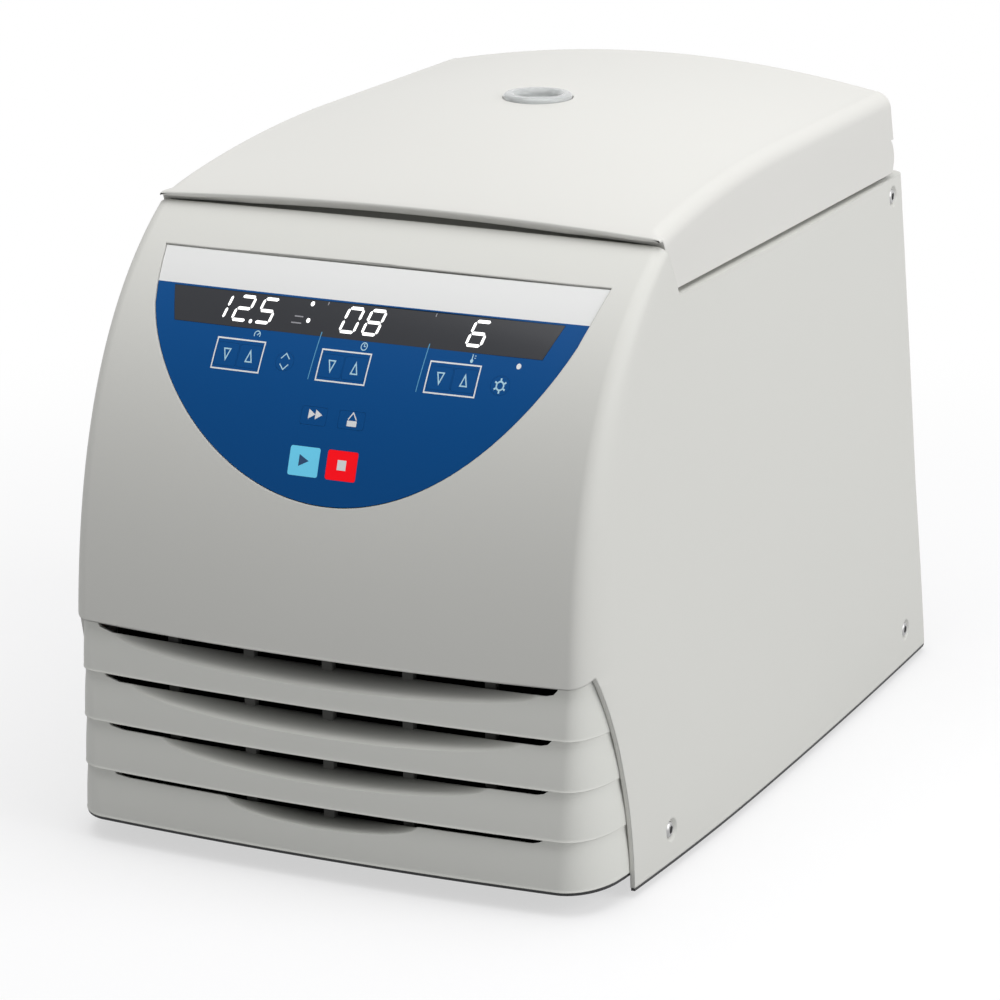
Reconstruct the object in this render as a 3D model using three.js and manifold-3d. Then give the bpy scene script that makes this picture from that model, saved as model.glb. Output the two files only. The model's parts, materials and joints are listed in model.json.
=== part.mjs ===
// Refrigerated bench microcentrifuge: a moulded housing over a cooled steel bowl, with a hinged lid.
// Millimetres. +X is the right-hand side, the front faces -Y and +Z is up. The origin is on the bench,
// under the middle of the instrument. Heights below are measured from the lower edge of the housing,
// and the whole instrument is raised by the height of its feet at the end.
import * as THREE from 'three';
import { mergeVertices } from 'three/addons/utils/BufferGeometryUtils.js';
import Module from 'manifold-3d';

const wasm = await Module();
wasm.setup();

// Clearances and overruns
const seat = 0.3;            // gap between two pieces that bear on each other
const overrun = 2;           // how far a cutter runs past what it cuts
const weld = 1e-4;           // corners closer than this are one corner
const probe = 0.5;           // spacing of the points between which a slope is measured
const footDrop = 5;          // the feet hold the housing this far above the bench

// Chamber, measured about the rotor axis
const chamber = {
  centreY: 17, radius: 94, depth: 84, corner: 22, wall: 1, flange: 9, flangeThickness: 1.2, shaftHole: 15,
  coilTube: 5, coilTurns: 4, coilPitch: 13, coilTopDrop: 14, insulation: 9, rotorGap: 10, sides: 24,
};
const insulationInner = chamber.radius + chamber.wall + 2 * seat + chamber.coilTube;
const insulationOuter = insulationInner + chamber.insulation;

// The deck is laid out from the chamber forwards
const deckPlan = {
  footGap: 19.4, ridgeLean: 21, latchSetBack: 11, lidOverhang: 2, skirtSetBack: 1.5, linerReach: 5,
};
const ridgeFootY = chamber.centreY - insulationOuter - deckPlan.footGap;
const ridgeY = ridgeFootY - deckPlan.ridgeLean;

// Housing: one moulding of front, sides and deck
const housing = {
  frontY: -225, rearY: 225, halfWidth: 145, widestY: -40, frontNarrowing: 8.9, rearNarrowing: 8.5,
  topWidthShare: 0.92, deckZ: 264.7, wall: 3, rearTopY: 190.3, rearKinkY: 204.5, rearKinkZ: 95,
  rearCorner: 9,
};
const deckHalfWidth = housing.halfWidth * housing.topWidthShare;
const face = {
  lipY: -223, lipZ: 104, lowHandle: 95, ridgeY, ridgeZ: 289.7, ridgeFootY,
  topHandle: 67.3, topSlope: Math.PI / 6, bowReach: 120, bowAtLip: 4.6, bowAtRidge: 1.5,
  cornerAcrossLip: 22, cornerAlongLip: 40, cornerAcrossRidge: 9, cornerAlongRidge: 12,
};
const sideEdge = { topY: -199, footY: -181, handleY: -172, handleZ: 50 };

// Louvred air intake below the face
const louvre = {
  lips: [104, 80, 55.7, 31.7], footZ: 8, slotHeight: 6, slotInsets: [26.9, 29.6, 31.3, 33.6],
  scoopWidthShares: [0.89, 0.84, 0.72, 0.42], scoopHeights: [9, 9, 8.5, 6.5], scoopDepth: 8, setBack: 2.4,
  swell: 1.6, bladeDepth: 11, ribWidth: 6, ribPitch: 40, ribCount: 5, ribFrontInset: 8, ribDepth: 9,
  returnY: -160, undercut: 0.4, sideGap: 0.9, cornerInset: 2, returnWall: 2.4,
};

// Control panel on the face
const panel = {
  topZ: 272.8, bandZ: 258.6, sideInset: 23.2, flare: 3.7, vertexZ: 174, roundness: 1.33,
  recess: 2.2, bed: 0.6, thickness: 1, ledge: 7, rim: 0.4, tipHalfWidth: 5, windowTopZ: 262,
};
const panelHalfWidth = deckHalfWidth - panel.sideInset;
const display = {
  leftInset: 9.2, rightInset: 11.2, bottomTaper: 6, topZ: 258.2, bottomZ: 244.4, thickness: 2.4,
};
const keyGap = 0.3;
const keyCornerShare = 0.1;
const keyThickness = 3;
const keyTravel = 0.4;
const keyRows = {
  pairs: { z: 233.1, height: 11.2, width: 11.4, pitch: 12.1 },
  round: { z: 232.8, radius: 4.6 },
  soft: { z: 212, height: 8.4, width: 13, middleX: -2, pitch: 19.2 },
  main: { z: 192.4, height: 13.6, width: 15.2, middleX: -3.2, pitch: 19.2 },
};
const pairMiddleShares = [-0.5172, -0.0218, 0.4755];
const roundKeyShares = { ramp: -0.294, precool: 0.6906 };
const board = { behind: 15, thickness: 1.6, sideInset: 18.2, topZ: 254, bottomZ: 190, postRadius: 3 };

const rotor = {
  radius: chamber.radius - chamber.rotorGap, rimHeight: 15, height: 50, bottomRadius: 46, floorGap: 8,
  lobes: 18, lobeDepth: 3, hubRadius: 20, lidHeight: 8, lidLip: 3,
  knobRadius: 21, knobHeight: 11, knobFlutes: 8, fluteRadius: 2.4,
};
const motor = {
  radius: 48, bottomZ: 62, topZ: 160, flangeRadius: 64, flangeThickness: 6, ribCount: 8, ribThickness: 3,
  ribReach: 54, shaftRadius: 8, coneRadius: 11, coneTip: 6.5, coneLength: 24, bossRadius: 20, bossHeight: 8,
};
const damper = { radius: 9, waist: 6.5, height: 22, ring: 54, count: 3, stud: 2.5 };
const motorPlate = { thickness: 4, radius: 70, legRadius: 5, legRing: 62, holeRadius: 30 };

// Base, feet and rear
const base = {
  thickness: 3, bottomZ: 3, rim: 12, rimWall: 1.5, frontY: -205, rearInset: 8, sideGap: 1.2, corner: 2,
  ventCount: 6, ventWidth: 5, ventLength: 60, ventPitch: 14, ventY: 40,
};
const foot = { radius: 12, topRadius: 10, sideInset: 40, frontY: -170, rearY: 185 };
const rearPanel = { bottomZ: 8, topZ: 252, thickness: 3, sideInset: 25, slotHeight: 5, slotPitch: 11,
  slotCount: 9, slotMargin: 23, slotGap: 26, slotBottomZ: 118 };
const rearHalfWidth = housing.halfWidth - rearPanel.sideInset;
const inlet = { sideInset: 42, z: 52, width: 30, height: 24, depth: 22, wall: 2,
  flange: 6, flangeThickness: 2 };
const rocker = { sideInset: 42, z: 88, width: 20, height: 26, depth: 14, tilt: 0.14, dip: 1.2, frame: 3,
  pivotInset: 6, endGap: 1.8 };
const inletX = inlet.sideInset - rearHalfWidth;
const rockerX = rocker.sideInset - rearHalfWidth;

// Refrigeration and electrics
const condenser = { halfWidth: 92, y: -186, depth: 22, bottomZ: 14, topZ: 96, fins: 8, finThickness: 1.2,
  tubeRadius: 4, tubes: 2, endPlate: 3 };
const shroud = { halfWidth: 70, wall: 3, depth: 26, openingRadius: 41, motorRadius: 12, motorLength: 12,
  spokeWidth: 5, bottomZ: 7, topZ: 98 };
const fan = { radius: 38, hubRadius: 13, depth: 14, blades: 5, bladeThickness: 1.8, pitch: 0.62,
  shaftRadius: 2 };
const compressor = { sideInset: 79, y: 140, radius: 50, height: 138, domeHeight: 18,
  footWidth: 120, footDepth: 76, footThickness: 3, gromRadius: 8, gromHeight: 7, gromX: 50, gromY: 30, stubRadius: 4 };
const drier = { sideInset: 35, y: 20, z: 23, radius: 9, length: 70, neck: 4, neckLength: 12, saddle: 8 };
const lineTube = { radius: 3, bend: 9, sides: 3, steps: 20 };
const powerBoard = { sideInset: 61, y: 132, width: 76, length: 88, thickness: 2,
  postRadius: 3.5, postHeight: 10, blockWidth: 34, blockLength: 46, blockHeight: 30, capRadius: 10, capHeight: 26 };

// Latch behind the ridge
const latch = {
  y: ridgeFootY + deckPlan.latchSetBack, housingHalfWidth: 20, housingDepth: 18, housingHeight: 44, wall: 2,
  slotHalfWidth: 9, slotDepth: 12, hookThickness: 6, hookWidth: 8, pivotDrop: 26, tail: 14, pivotRadius: 2,
  noseHeight: 5, coilRadius: 8, coilLength: 26,
  plungerRadius: 3.5, plungerLength: 14, tipRadius: 1, tipLength: 2.5,
};
const striker = {
  halfWidth: 7, barRadius: 2, drop: 20, legWidth: 3, plate: 2.5, plateHalfWidth: 13, plateDepth: 9,
};

// Lid
const lid = {
  seam: 2.3, sideInset: 2.4, rearNarrowing: 4, wall: 3,
  frontY: ridgeY - deckPlan.lidOverhang, frontZ: 291.2, frontThickness: 5, lipDepth: 4,
  skirtFrontY: ridgeFootY + deckPlan.skirtSetBack, rearTopY: 172, rearFootY: 178.5, rearFootZ: 284,
  shoulder: 12, crownZ: 323.5, crownY: 30, rearCrownZ: 321, sideFrontZ: 292, sideRearZ: 309,
  scoopInset: 7, scoopHeight: 7.8, scoopDepth: 20,
};
const lidHalfWidth = deckHalfWidth - lid.sideInset;
const hinge = { y: 168, z: 276, proud: 0.4, blockWidth: 27.5, blockHalfDepth: 7, clearance: 2.5,
  pinRadius: 3, pinReach: 21, earThickness: 5, earRadius: 7,
  springTurns: 4, springSteps: 7, springWire: 1.6 };
const hingeOuterX = lidHalfWidthAt(hinge.y) + hinge.proud;
const hingeInnerX = hingeOuterX - hinge.blockWidth;
const pinInnerX = hingeInnerX - hinge.pinReach;
const liner = {
  bottomZ: 269.4, thickness: 3, frontY: latch.y + deckPlan.linerReach, rearY: 152,
  tubeRadius: 16.2, tubeWall: 2,
  gasketWidth: 6, gasketTaper: 1,
};
const lens = { radius: 17.5, bore: 11, height: 12, proud: 1.8, lipWidth: 3.2, pane: 3 };

// Colours
const shades = {
  body: 0xd9dad4, grille: 0xb6b8b0, lid: 0xe6e5df, liner: 0xc9cac6, blue: 0x00457c, black: 0x202126,
  rubber: 0x26272a, steel: 0xb9bcc0, zinc: 0x9da1a5, copper: 0xb87350, board: 0x1f6b43, foam: 0xe3dccb,
  red: 0xc22a2a, cyan: 0x5fb4dc, anodised: 0x3b4148, clear: 0xdfe9ea, keys: 0x0a4f8b,
};
const finishes = {
  plastic: { roughness: 0.5, metalness: 0 }, gloss: { roughness: 0.15, metalness: 0 },
  rubber: { roughness: 0.85, metalness: 0 }, metal: { roughness: 0.35, metalness: 1 },
};

const instrument = new THREE.Group();
instrument.position.z = footDrop;

function addPiece(name, solid, color, finish, parent = instrument) {
  const material = new THREE.MeshStandardMaterial({ color, flatShading: true, ...finishes[finish] });
  const mesh = new THREE.Mesh(geometryOf(solid), material);
  mesh.name = name;
  parent.add(mesh);
  return mesh;
}

// Solids

function geometryOf(solid) {
  const { vertProperties, triVerts } = solid.getMesh();
  const geometry = new THREE.BufferGeometry();
  geometry.setAttribute('position', new THREE.BufferAttribute(new Float32Array(vertProperties), 3));
  geometry.setIndex(new THREE.BufferAttribute(new Uint32Array(triVerts), 1));
  geometry.computeVertexNormals();
  return geometry;
}

// Merges a closed geometry's shared corners, drops its empty triangles and turns its faces outwards.
function solidOf(geometry) {
  const bare = new THREE.BufferGeometry();
  bare.setAttribute('position', geometry.getAttribute('position'));
  bare.setIndex(geometry.getIndex());
  const merged = mergeVertices(bare, weld);
  const corners = merged.getAttribute('position').array;
  const source = merged.getIndex().array;
  const faces = [];
  for (let i = 0; i < source.length; i += 3) {
    const [a, b, c] = [source[i], source[i + 1], source[i + 2]];
    if (a !== b && b !== c && c !== a) faces.push(a, b, c);
  }
  if (enclosedVolume(corners, faces) < 0) faces.reverse();
  return new wasm.Manifold(new wasm.Mesh({
    numProp: 3, vertProperties: new Float32Array(corners), triVerts: new Uint32Array(faces),
  }));
}

function enclosedVolume(corners, faces) {
  const [a, b, c] = [new THREE.Vector3(), new THREE.Vector3(), new THREE.Vector3()];
  let volume = 0;
  for (let i = 0; i < faces.length; i += 3) {
    a.fromArray(corners, faces[i] * 3);
    b.fromArray(corners, faces[i + 1] * 3);
    c.fromArray(corners, faces[i + 2] * 3);
    volume += a.dot(b.cross(c)) / 6;
  }
  return volume;
}

function union(solids) {
  return solids.reduce((whole, next) => whole.add(next));
}

function block([x0, x1], [y0, y1], [z0, z1]) {
  const geometry = new THREE.BoxGeometry(x1 - x0, y1 - y0, z1 - z0);
  geometry.translate((x0 + x1) / 2, (y0 + y1) / 2, (z0 + z1) / 2);
  return solidOf(geometry);
}

// A profile of [radius, height] points turned about a vertical axis through (x, y)
function turned(profile, sides, x = 0, y = 0) {
  const points = profile.map(([r, h]) => new THREE.Vector2(r, h));
  const geometry = new THREE.LatheGeometry(points, sides);
  geometry.rotateX(Math.PI / 2);
  geometry.translate(x, y, 0);
  return solidOf(geometry);
}

function rod(radius, from, to, sides = 16, endRadius = radius) {
  const start = new THREE.Vector3(...from);
  const along = new THREE.Vector3(...to).sub(start);
  const geometry = new THREE.CylinderGeometry(endRadius, radius, along.length(), sides);
  geometry.translate(0, along.length() / 2, 0);
  geometry.applyQuaternion(new THREE.Quaternion().setFromUnitVectors(
    new THREE.Vector3(0, 1, 0), along.clone().normalize()));
  geometry.translate(start.x, start.y, start.z);
  return solidOf(geometry);
}

function extruded(outline, depth, curveSegments = 8) {
  const shape = outline instanceof THREE.Shape
    ? outline : new THREE.Shape(outline.map(([u, v]) => new THREE.Vector2(u, v)));
  return new THREE.ExtrudeGeometry(shape, { depth, bevelEnabled: false, curveSegments });
}

// An outline in (y, z), run along X
function alongX(outline, x0, x1) {
  const geometry = extruded(outline, x1 - x0);
  geometry.applyMatrix4(new THREE.Matrix4().makeBasis(
    new THREE.Vector3(0, 1, 0), new THREE.Vector3(0, 0, 1), new THREE.Vector3(1, 0, 0)));
  geometry.translate(x0, 0, 0);
  return solidOf(geometry);
}

// An outline in (x, z), run along Y
function alongY(outline, y0, y1) {
  const geometry = extruded(outline, y1 - y0);
  geometry.rotateX(Math.PI / 2);
  geometry.translate(0, y1, 0);
  return solidOf(geometry);
}

// An outline in (x, y), run along Z
function alongZ(outline, z0, z1) {
  const geometry = extruded(outline, z1 - z0);
  geometry.translate(0, 0, z0);
  return solidOf(geometry);
}

function roundedRectangle(x0, x1, y0, y1, radius) {
  const shape = new THREE.Shape();
  shape.moveTo(x0 + radius, y0);
  shape.lineTo(x1 - radius, y0);
  shape.absarc(x1 - radius, y0 + radius, radius, -Math.PI / 2, 0);
  shape.lineTo(x1, y1 - radius);
  shape.absarc(x1 - radius, y1 - radius, radius, 0, Math.PI / 2);
  shape.lineTo(x0 + radius, y1);
  shape.absarc(x0 + radius, y1 - radius, radius, Math.PI / 2, Math.PI);
  shape.lineTo(x0, y0 + radius);
  shape.absarc(x0 + radius, y0 + radius, radius, Math.PI, 1.5 * Math.PI);
  return shape;
}

// A skin through closed rings of equally many points, shut at both ends by a fan about each ring's middle
function loft(rings) {
  const count = rings[0].length;
  const corners = rings.flat().flatMap((p) => [p.x, p.y, p.z]);
  const faces = [];
  for (let i = 0; i + 1 < rings.length; i += 1) {
    for (let j = 0; j < count; j += 1) {
      const [a, b] = [i * count + j, i * count + (j + 1) % count];
      faces.push(a, b, b + count, a, b + count, a + count);
    }
  }
  [rings[0], rings[rings.length - 1]].forEach((ring, end) => {
    const middle = ring.reduce((sum, p) => sum.add(p), new THREE.Vector3()).divideScalar(count);
    const centre = corners.length / 3;
    corners.push(middle.x, middle.y, middle.z);
    const first = end * (rings.length - 1) * count;
    for (let j = 0; j < count; j += 1) {
      const [a, b] = [first + j, first + (j + 1) % count];
      faces.push(...(end ? [centre, a, b] : [centre, b, a]));
    }
  });
  const geometry = new THREE.BufferGeometry();
  geometry.setAttribute('position', new THREE.BufferAttribute(new Float32Array(corners), 3));
  geometry.setIndex(faces);
  return solidOf(geometry);
}

// Housing surfaces

const mix = THREE.MathUtils.lerp;

const faceCurve = new THREE.CubicBezierCurve(
  new THREE.Vector2(face.lipY, face.lipZ),
  new THREE.Vector2(face.lipY, face.lipZ + face.lowHandle),
  new THREE.Vector2(face.ridgeY - face.topHandle * Math.cos(face.topSlope),
    face.ridgeZ - face.topHandle * Math.sin(face.topSlope)),
  new THREE.Vector2(face.ridgeY, face.ridgeZ));

// Where the middle line of the face is at height z
function faceYAt(z) {
  let [low, high] = [0, 1];
  for (let i = 0; i < 40; i += 1) {
    const middle = (low + high) / 2;
    if (faceCurve.getPoint(middle).y < z) low = middle;
    else high = middle;
  }
  return faceCurve.getPoint(low).x;
}

const faceShareAt = (z) => THREE.MathUtils.clamp((z - face.lipZ) / (face.ridgeZ - face.lipZ), 0, 1);

function bowAt(x, z) {
  return mix(face.bowAtLip, face.bowAtRidge, faceShareAt(z)) * (x / face.bowReach) ** 2;
}

function sideXAt(y, z) {
  const ahead = y < housing.widestY;
  const reach = ahead ? housing.frontY - housing.widestY : housing.rearY - housing.widestY;
  const narrowing = ahead ? housing.frontNarrowing : housing.rearNarrowing;
  const atFoot = housing.halfWidth - narrowing * ((y - housing.widestY) / reach) ** 2;
  return atFoot * mix(1, housing.topWidthShare, z / housing.deckZ);
}

function rearYAt(z) {
  return z < housing.rearKinkZ
    ? mix(housing.rearY, housing.rearKinkY, z / housing.rearKinkZ)
    : mix(housing.rearKinkY, housing.rearTopY, (z - housing.rearKinkZ) / (housing.deckZ - housing.rearKinkZ));
}

// One level of the housing: bowed front, elliptical front corners, bowed sides and a straight back.
function levelRing(z, frontY, { side = 0, rear = 0, narrower = 0 } = {}) {
  const share = faceShareAt(z);
  const across = mix(face.cornerAcrossLip, face.cornerAcrossRidge, share) - narrower;
  const along = mix(face.cornerAlongLip, face.cornerAlongRidge, share) - narrower;
  const [frontSteps, cornerSteps, sideSteps, rearSteps] = [3, 3, 2, 1];
  const cornerX = sideXAt(frontY + along, z) - side - across;
  const cornerY = frontY + bowAt(cornerX, z) + along;
  const half = [];
  for (let i = 0; i < frontSteps; i += 1) {
    const x = cornerX * i / frontSteps;
    half.push([x, frontY + bowAt(x, z)]);
  }
  for (let i = 0; i < cornerSteps; i += 1) {
    const angle = (i / cornerSteps - 1) * Math.PI / 2;
    half.push([cornerX + across * Math.cos(angle), cornerY + along * Math.sin(angle)]);
  }
  const backY = rearYAt(z) - rear;
  const backCorner = Math.max(housing.rearCorner - rear, overrun);
  for (let i = 0; i <= sideSteps; i += 1) {
    const y = mix(cornerY, backY - backCorner, i / sideSteps);
    half.push([sideXAt(y, z) - side, y]);
  }
  const backX = sideXAt(backY - backCorner, z) - side - backCorner;
  for (let i = 1; i <= rearSteps; i += 1) {
    const angle = i / rearSteps * Math.PI / 2;
    half.push([backX + backCorner * Math.cos(angle), backY - backCorner + backCorner * Math.sin(angle)]);
  }
  const mirrored = half.slice(1).reverse().map(([x, y]) => [-x, y]);
  return [...half, [0, backY], ...mirrored].map(([x, y]) => new THREE.Vector3(x, y, z));
}

// The levels of the housing moved in by a wall all round, from below its lower edge to its ridge
function housingLevels(wall, footZ) {
  const steps = 8;
  const rings = [footZ, housing.rearKinkZ].map((z) => levelRing(
    z, face.lipY + wall, { side: wall, rear: wall, narrower: wall }));
  for (let i = 0; i <= steps; i += 1) {
    const point = faceCurve.getPoint(i / steps);
    const tangent = faceCurve.getTangent(i / steps);
    rings.push(levelRing(
      point.y - tangent.x * wall, point.x + tangent.y * wall, { side: wall, rear: wall, narrower: wall }));
  }
  return rings;
}

// A point on the outside of the face and its outward normal
function facePoint(x, z, lift = 0) {
  const at = (u, v) => new THREE.Vector3(u, faceYAt(v) + bowAt(u, v), v);
  const point = at(x, z);
  const across = at(x + probe, z).sub(at(x - probe, z));
  const upwards = at(x, z + probe).sub(at(x, z - probe));
  const normal = across.cross(upwards).normalize();
  return { point: point.clone().addScaledVector(normal, lift), normal };
}

// A curved plate that follows the face between two lifts, on rows of [z, left x, right x]
function facePlate(rows, innerLift, outerLift, columns) {
  const skin = (lift) => rows.map(([z, left, right]) => Array.from({ length: columns + 1 }, (unused, j) =>
    facePoint(mix(left, right, j / columns), z, lift).point));
  const [outer, inner] = [skin(outerLift), skin(innerLift)];
  return loft(rows.map((row, i) => [...outer[i], ...inner[i].reverse()]));
}

function panelHalfWidthAt(z) {
  if (z > panel.bandZ) {
    return panelHalfWidth + panel.flare * (z - panel.bandZ) / (panel.topZ - panel.bandZ);
  }
  const share = Math.min((panel.bandZ - z) / (panel.bandZ - panel.vertexZ), 1);
  return panelHalfWidth * Math.sqrt(1 - share ** panel.roundness);
}

// Rows of the panel outline moved in by inset, from its rounded tip to topZ
function panelRows(inset, topZ) {
  const rowShares = [0, 0.025, 0.1, 0.24, 0.45, 0.72, 1];
  const rows = rowShares.slice(1).map((share) => {
    const z = mix(panel.vertexZ, panel.bandZ, share);
    const slope = (panelHalfWidthAt(z + probe) - panelHalfWidthAt(z - probe)) / (2 * probe);
    return [z, panelHalfWidthAt(z) - inset * Math.hypot(1, slope)];
  });
  return [[panel.vertexZ + inset, panel.tipHalfWidth], ...rows, [topZ, panelHalfWidthAt(topZ) - inset]]
    .filter(([z, half], i, all) => !i || (half > panel.tipHalfWidth && z > all[0][0]))
    .map(([z, half]) => [z, -half, half]);
}

// Housing pieces

function lidSpace(shift) {
  const farY = housing.rearY + 4 * overrun;
  const farZ = lid.crownZ;
  return alongX([
    [face.ridgeFootY - shift, housing.deckZ - shift], [farY, housing.deckZ - shift], [farY, farZ],
    [face.ridgeY - shift, farZ], [face.ridgeY - shift, face.ridgeZ - shift],
  ], -housing.halfWidth - overrun, housing.halfWidth + overrun);
}

function intakeOpening() {
  const edge = new THREE.QuadraticBezierCurve(
    new THREE.Vector2(sideEdge.topY, face.lipZ), new THREE.Vector2(sideEdge.handleY, sideEdge.handleZ),
    new THREE.Vector2(sideEdge.footY, 0)).getPoints(8).map((p) => [p.x, p.y]);
  const aheadY = housing.frontY - 4 * overrun;
  return alongX(
    [[aheadY, face.lipZ], [aheadY, -overrun], [sideEdge.footY, -overrun], ...edge.reverse()],
    -housing.halfWidth - overrun, housing.halfWidth + overrun);
}

// A raised rectangle of the face between two lifts, standing square to it at its own middle
function faceBlock(x, z, width, height, innerLift, outerLift) {
  const { point, normal } = facePoint(x, z);
  const [u, v, cut] = [width / 2, height / 2, width * keyCornerShare];
  const outline = [[u, v - cut], [u - cut, v], [cut - u, v], [-u, v - cut], [-u, cut - v], [cut - u, -v],
    [u - cut, -v], [u, cut - v]];
  const geometry = extruded(outline, outerLift - innerLift);
  return orientedToFace(geometry, point, normal, innerLift);
}

function faceDisc(x, z, radius, innerLift, outerLift) {
  const { point, normal } = facePoint(x, z);
  const shape = new THREE.Shape().absarc(0, 0, radius, 0, 2 * Math.PI);
  return orientedToFace(extruded(shape, outerLift - innerLift, 6), point, normal, innerLift);
}

function orientedToFace(geometry, point, normal, lift) {
  const right = new THREE.Vector3(0, 0, 1).cross(normal).normalize();
  const up = normal.clone().cross(right);
  geometry.translate(0, 0, lift);
  geometry.applyMatrix4(new THREE.Matrix4().makeBasis(right, up, normal).setPosition(point));
  return solidOf(geometry);
}

function hingeBlockOutline(grow) {
  const half = hinge.blockHalfDepth + grow;
  const shape = new THREE.Shape();
  shape.moveTo(hinge.y - half, housing.deckZ + seat);
  shape.lineTo(hinge.y + half, housing.deckZ + seat);
  shape.lineTo(hinge.y + half, hinge.z);
  shape.absarc(hinge.y, hinge.z, half, 0, Math.PI);
  return shape;
}

function makeHousingCover() {
  const space = lidSpace(0);
  const outer = loft(housingLevels(0, 0)).subtract(space);
  const inner = loft(housingLevels(housing.wall, -overrun)).subtract(lidSpace(housing.wall));
  const chamberHole = rod(chamber.radius + chamber.wall + chamber.coilTube, [0, chamber.centreY, housing.deckZ
    - housing.wall - overrun], [0, chamber.centreY, housing.deckZ + overrun], chamber.sides);
  const strikerSlot = block([-latch.slotHalfWidth, latch.slotHalfWidth],
    [latch.y - latch.slotDepth / 2, latch.y + latch.slotDepth / 2],
    [housing.deckZ - housing.wall - overrun, housing.deckZ + overrun]);
  const rearOpening = alongY([
    [-rearHalfWidth, -overrun], [rearHalfWidth, -overrun], [rearHalfWidth, rearPanel.topZ],
    [-rearHalfWidth, rearPanel.topZ],
  ], housing.rearTopY - housing.wall - overrun, housing.rearY + overrun);
  const pocket = facePlate(panelRows(-panel.rim, panel.topZ + panel.rim), -panel.recess, 2 * overrun, 4);
  const window = facePlate(
    panelRows(panel.ledge, panel.windowTopZ), -housing.wall - overrun, 2 * overrun, 4);
  return outer.subtract(inner).subtract(intakeOpening()).subtract(chamberHole).subtract(strikerSlot)
    .subtract(rearOpening).subtract(pocket).subtract(window).subtract(sideScrewSeats());
}

// Round recesses for the side screws, as [y, z] on both sides
const screwSeats = { radius: 6.5, depth: 1.2, places: [[-142, 15.5], [188, 16.5], [172, 252]] };

function sideScrewSeats() {
  return union(screwSeats.places.flatMap(([y, z]) => [-1, 1].map((side) => {
    const x = side * sideXAt(y, z);
    return rod(screwSeats.radius, [x - side * screwSeats.depth, y, z], [x + side * overrun, y, z], 14);
  })));
}

// Louvred grille: blades that swell forward, slots below the lips, ribs behind and scoops below the slots
function bladeLevels() {
  const levels = [[louvre.footZ, louvre.setBack / 2]];
  const feet = [...louvre.lips.slice(1), louvre.footZ];
  louvre.lips.slice().reverse().forEach((lip, i) => {
    const footZ = feet[louvre.lips.length - 1 - i];
    const topZ = lip - louvre.slotHeight;
    levels.push([mix(footZ, topZ, 0.55), louvre.setBack - louvre.swell - louvre.swell / 3]);
    levels.push([topZ, louvre.setBack]);
    levels.push([lip - louvre.undercut, louvre.setBack]);
    if (lip < face.lipZ) levels.push([lip, louvre.setBack - louvre.swell]);
  });
  return levels;
}

function grilleFrontY(z) {
  return mix(housing.frontY, face.lipY, z / face.lipZ);
}

function makeFrontGrille() {
  const side = housing.wall + louvre.sideGap;
  const outer = loft(bladeLevels().map(([z, inset]) => levelRing(
    z, grilleFrontY(z) + inset, { side, narrower: louvre.cornerInset })));
  const innerZs = [louvre.footZ - overrun, face.lipZ + overrun];
  const inner = loft(innerZs.map((z) => levelRing(z, grilleFrontY(z) + louvre.bladeDepth, {
    side: side + louvre.returnWall, narrower: louvre.bladeDepth })));
  const frontOnly = block([-housing.halfWidth, housing.halfWidth], [housing.frontY - overrun, louvre.returnY],
    [0, face.lipZ]);
  let grille = outer.subtract(inner).intersect(frontOnly);
  louvre.lips.forEach((lip, i) => {
    const half = housing.halfWidth - louvre.slotInsets[i];
    grille = grille.subtract(block([-half, half], [housing.frontY - overrun, louvre.returnY],
      [lip - louvre.slotHeight, i ? lip - louvre.undercut : lip + overrun]));
    grille = grille.subtract(scoop(
      lip - louvre.slotHeight, half * louvre.scoopWidthShares[i], louvre.scoopHeights[i]));
  });
  const ribs = Array.from({ length: louvre.ribCount }, (unused, i) => {
    const x = (i - (louvre.ribCount - 1) / 2) * louvre.ribPitch;
    const y = face.lipY + louvre.ribFrontInset + bowAt(x, 0);
    return block([x - louvre.ribWidth / 2, x + louvre.ribWidth / 2], [y, y + louvre.ribDepth],
      [louvre.footZ, face.lipZ - louvre.undercut]);
  });
  return union([grille, ...ribs]);
}

function scoop(z, halfWidth, height) {
  const geometry = new THREE.SphereGeometry(1, 16, 6);
  geometry.scale(halfWidth, louvre.scoopDepth, height);
  const places = geometry.getAttribute('position');
  for (let i = 0; i < places.count; i += 1) {
    const x = places.getX(i);
    places.setXYZ(i, x, places.getY(i) + grilleFrontY(z) + louvre.setBack - louvre.swell + bowAt(x, z),
      places.getZ(i) + z);
  }
  return solidOf(geometry);
}

// Back of the housing: a panel that follows the slope of the back, with vents, the inlet and the switch
function makeRearPanel() {
  const bottomY = rearYAt(rearPanel.bottomZ);
  const outline = [[bottomY, rearPanel.bottomZ], [housing.rearKinkY, housing.rearKinkZ],
    [rearYAt(rearPanel.topZ), rearPanel.topZ]];
  const inner = outline.map(([y, z]) => [y - rearPanel.thickness, z]).reverse();
  const half = rearHalfWidth - seat;
  let sheet = alongX([...outline, ...inner], -half, half);
  const [low, high] = [housing.rearTopY - 2 * housing.wall, housing.rearY + overrun];
  for (let i = 0; i < rearPanel.slotCount; i += 1) {
    const z = rearPanel.slotBottomZ + i * rearPanel.slotPitch;
    [-1, 1].forEach((hand) => {
      const ends = [hand * rearPanel.slotGap / 2, hand * (rearHalfWidth - rearPanel.slotMargin)];
      sheet = sheet.subtract(block(ends.sort((a, b) => a - b), [low, high], [z, z + rearPanel.slotHeight]));
    });
  }
  const inletHole = block([inletX - inlet.width / 2 - seat, inletX + inlet.width / 2 + seat],
    [low, high], [inlet.z - inlet.height / 2 - seat, inlet.z + inlet.height / 2 + seat]);
  const switchHole = block([rockerX - rocker.width / 2 - seat, rockerX + rocker.width / 2 + seat],
    [low, high], [rocker.z - rocker.height / 2 - seat, rocker.z + rocker.height / 2 + seat]);
  return sheet.subtract(inletHole).subtract(switchHole);
}

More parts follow.
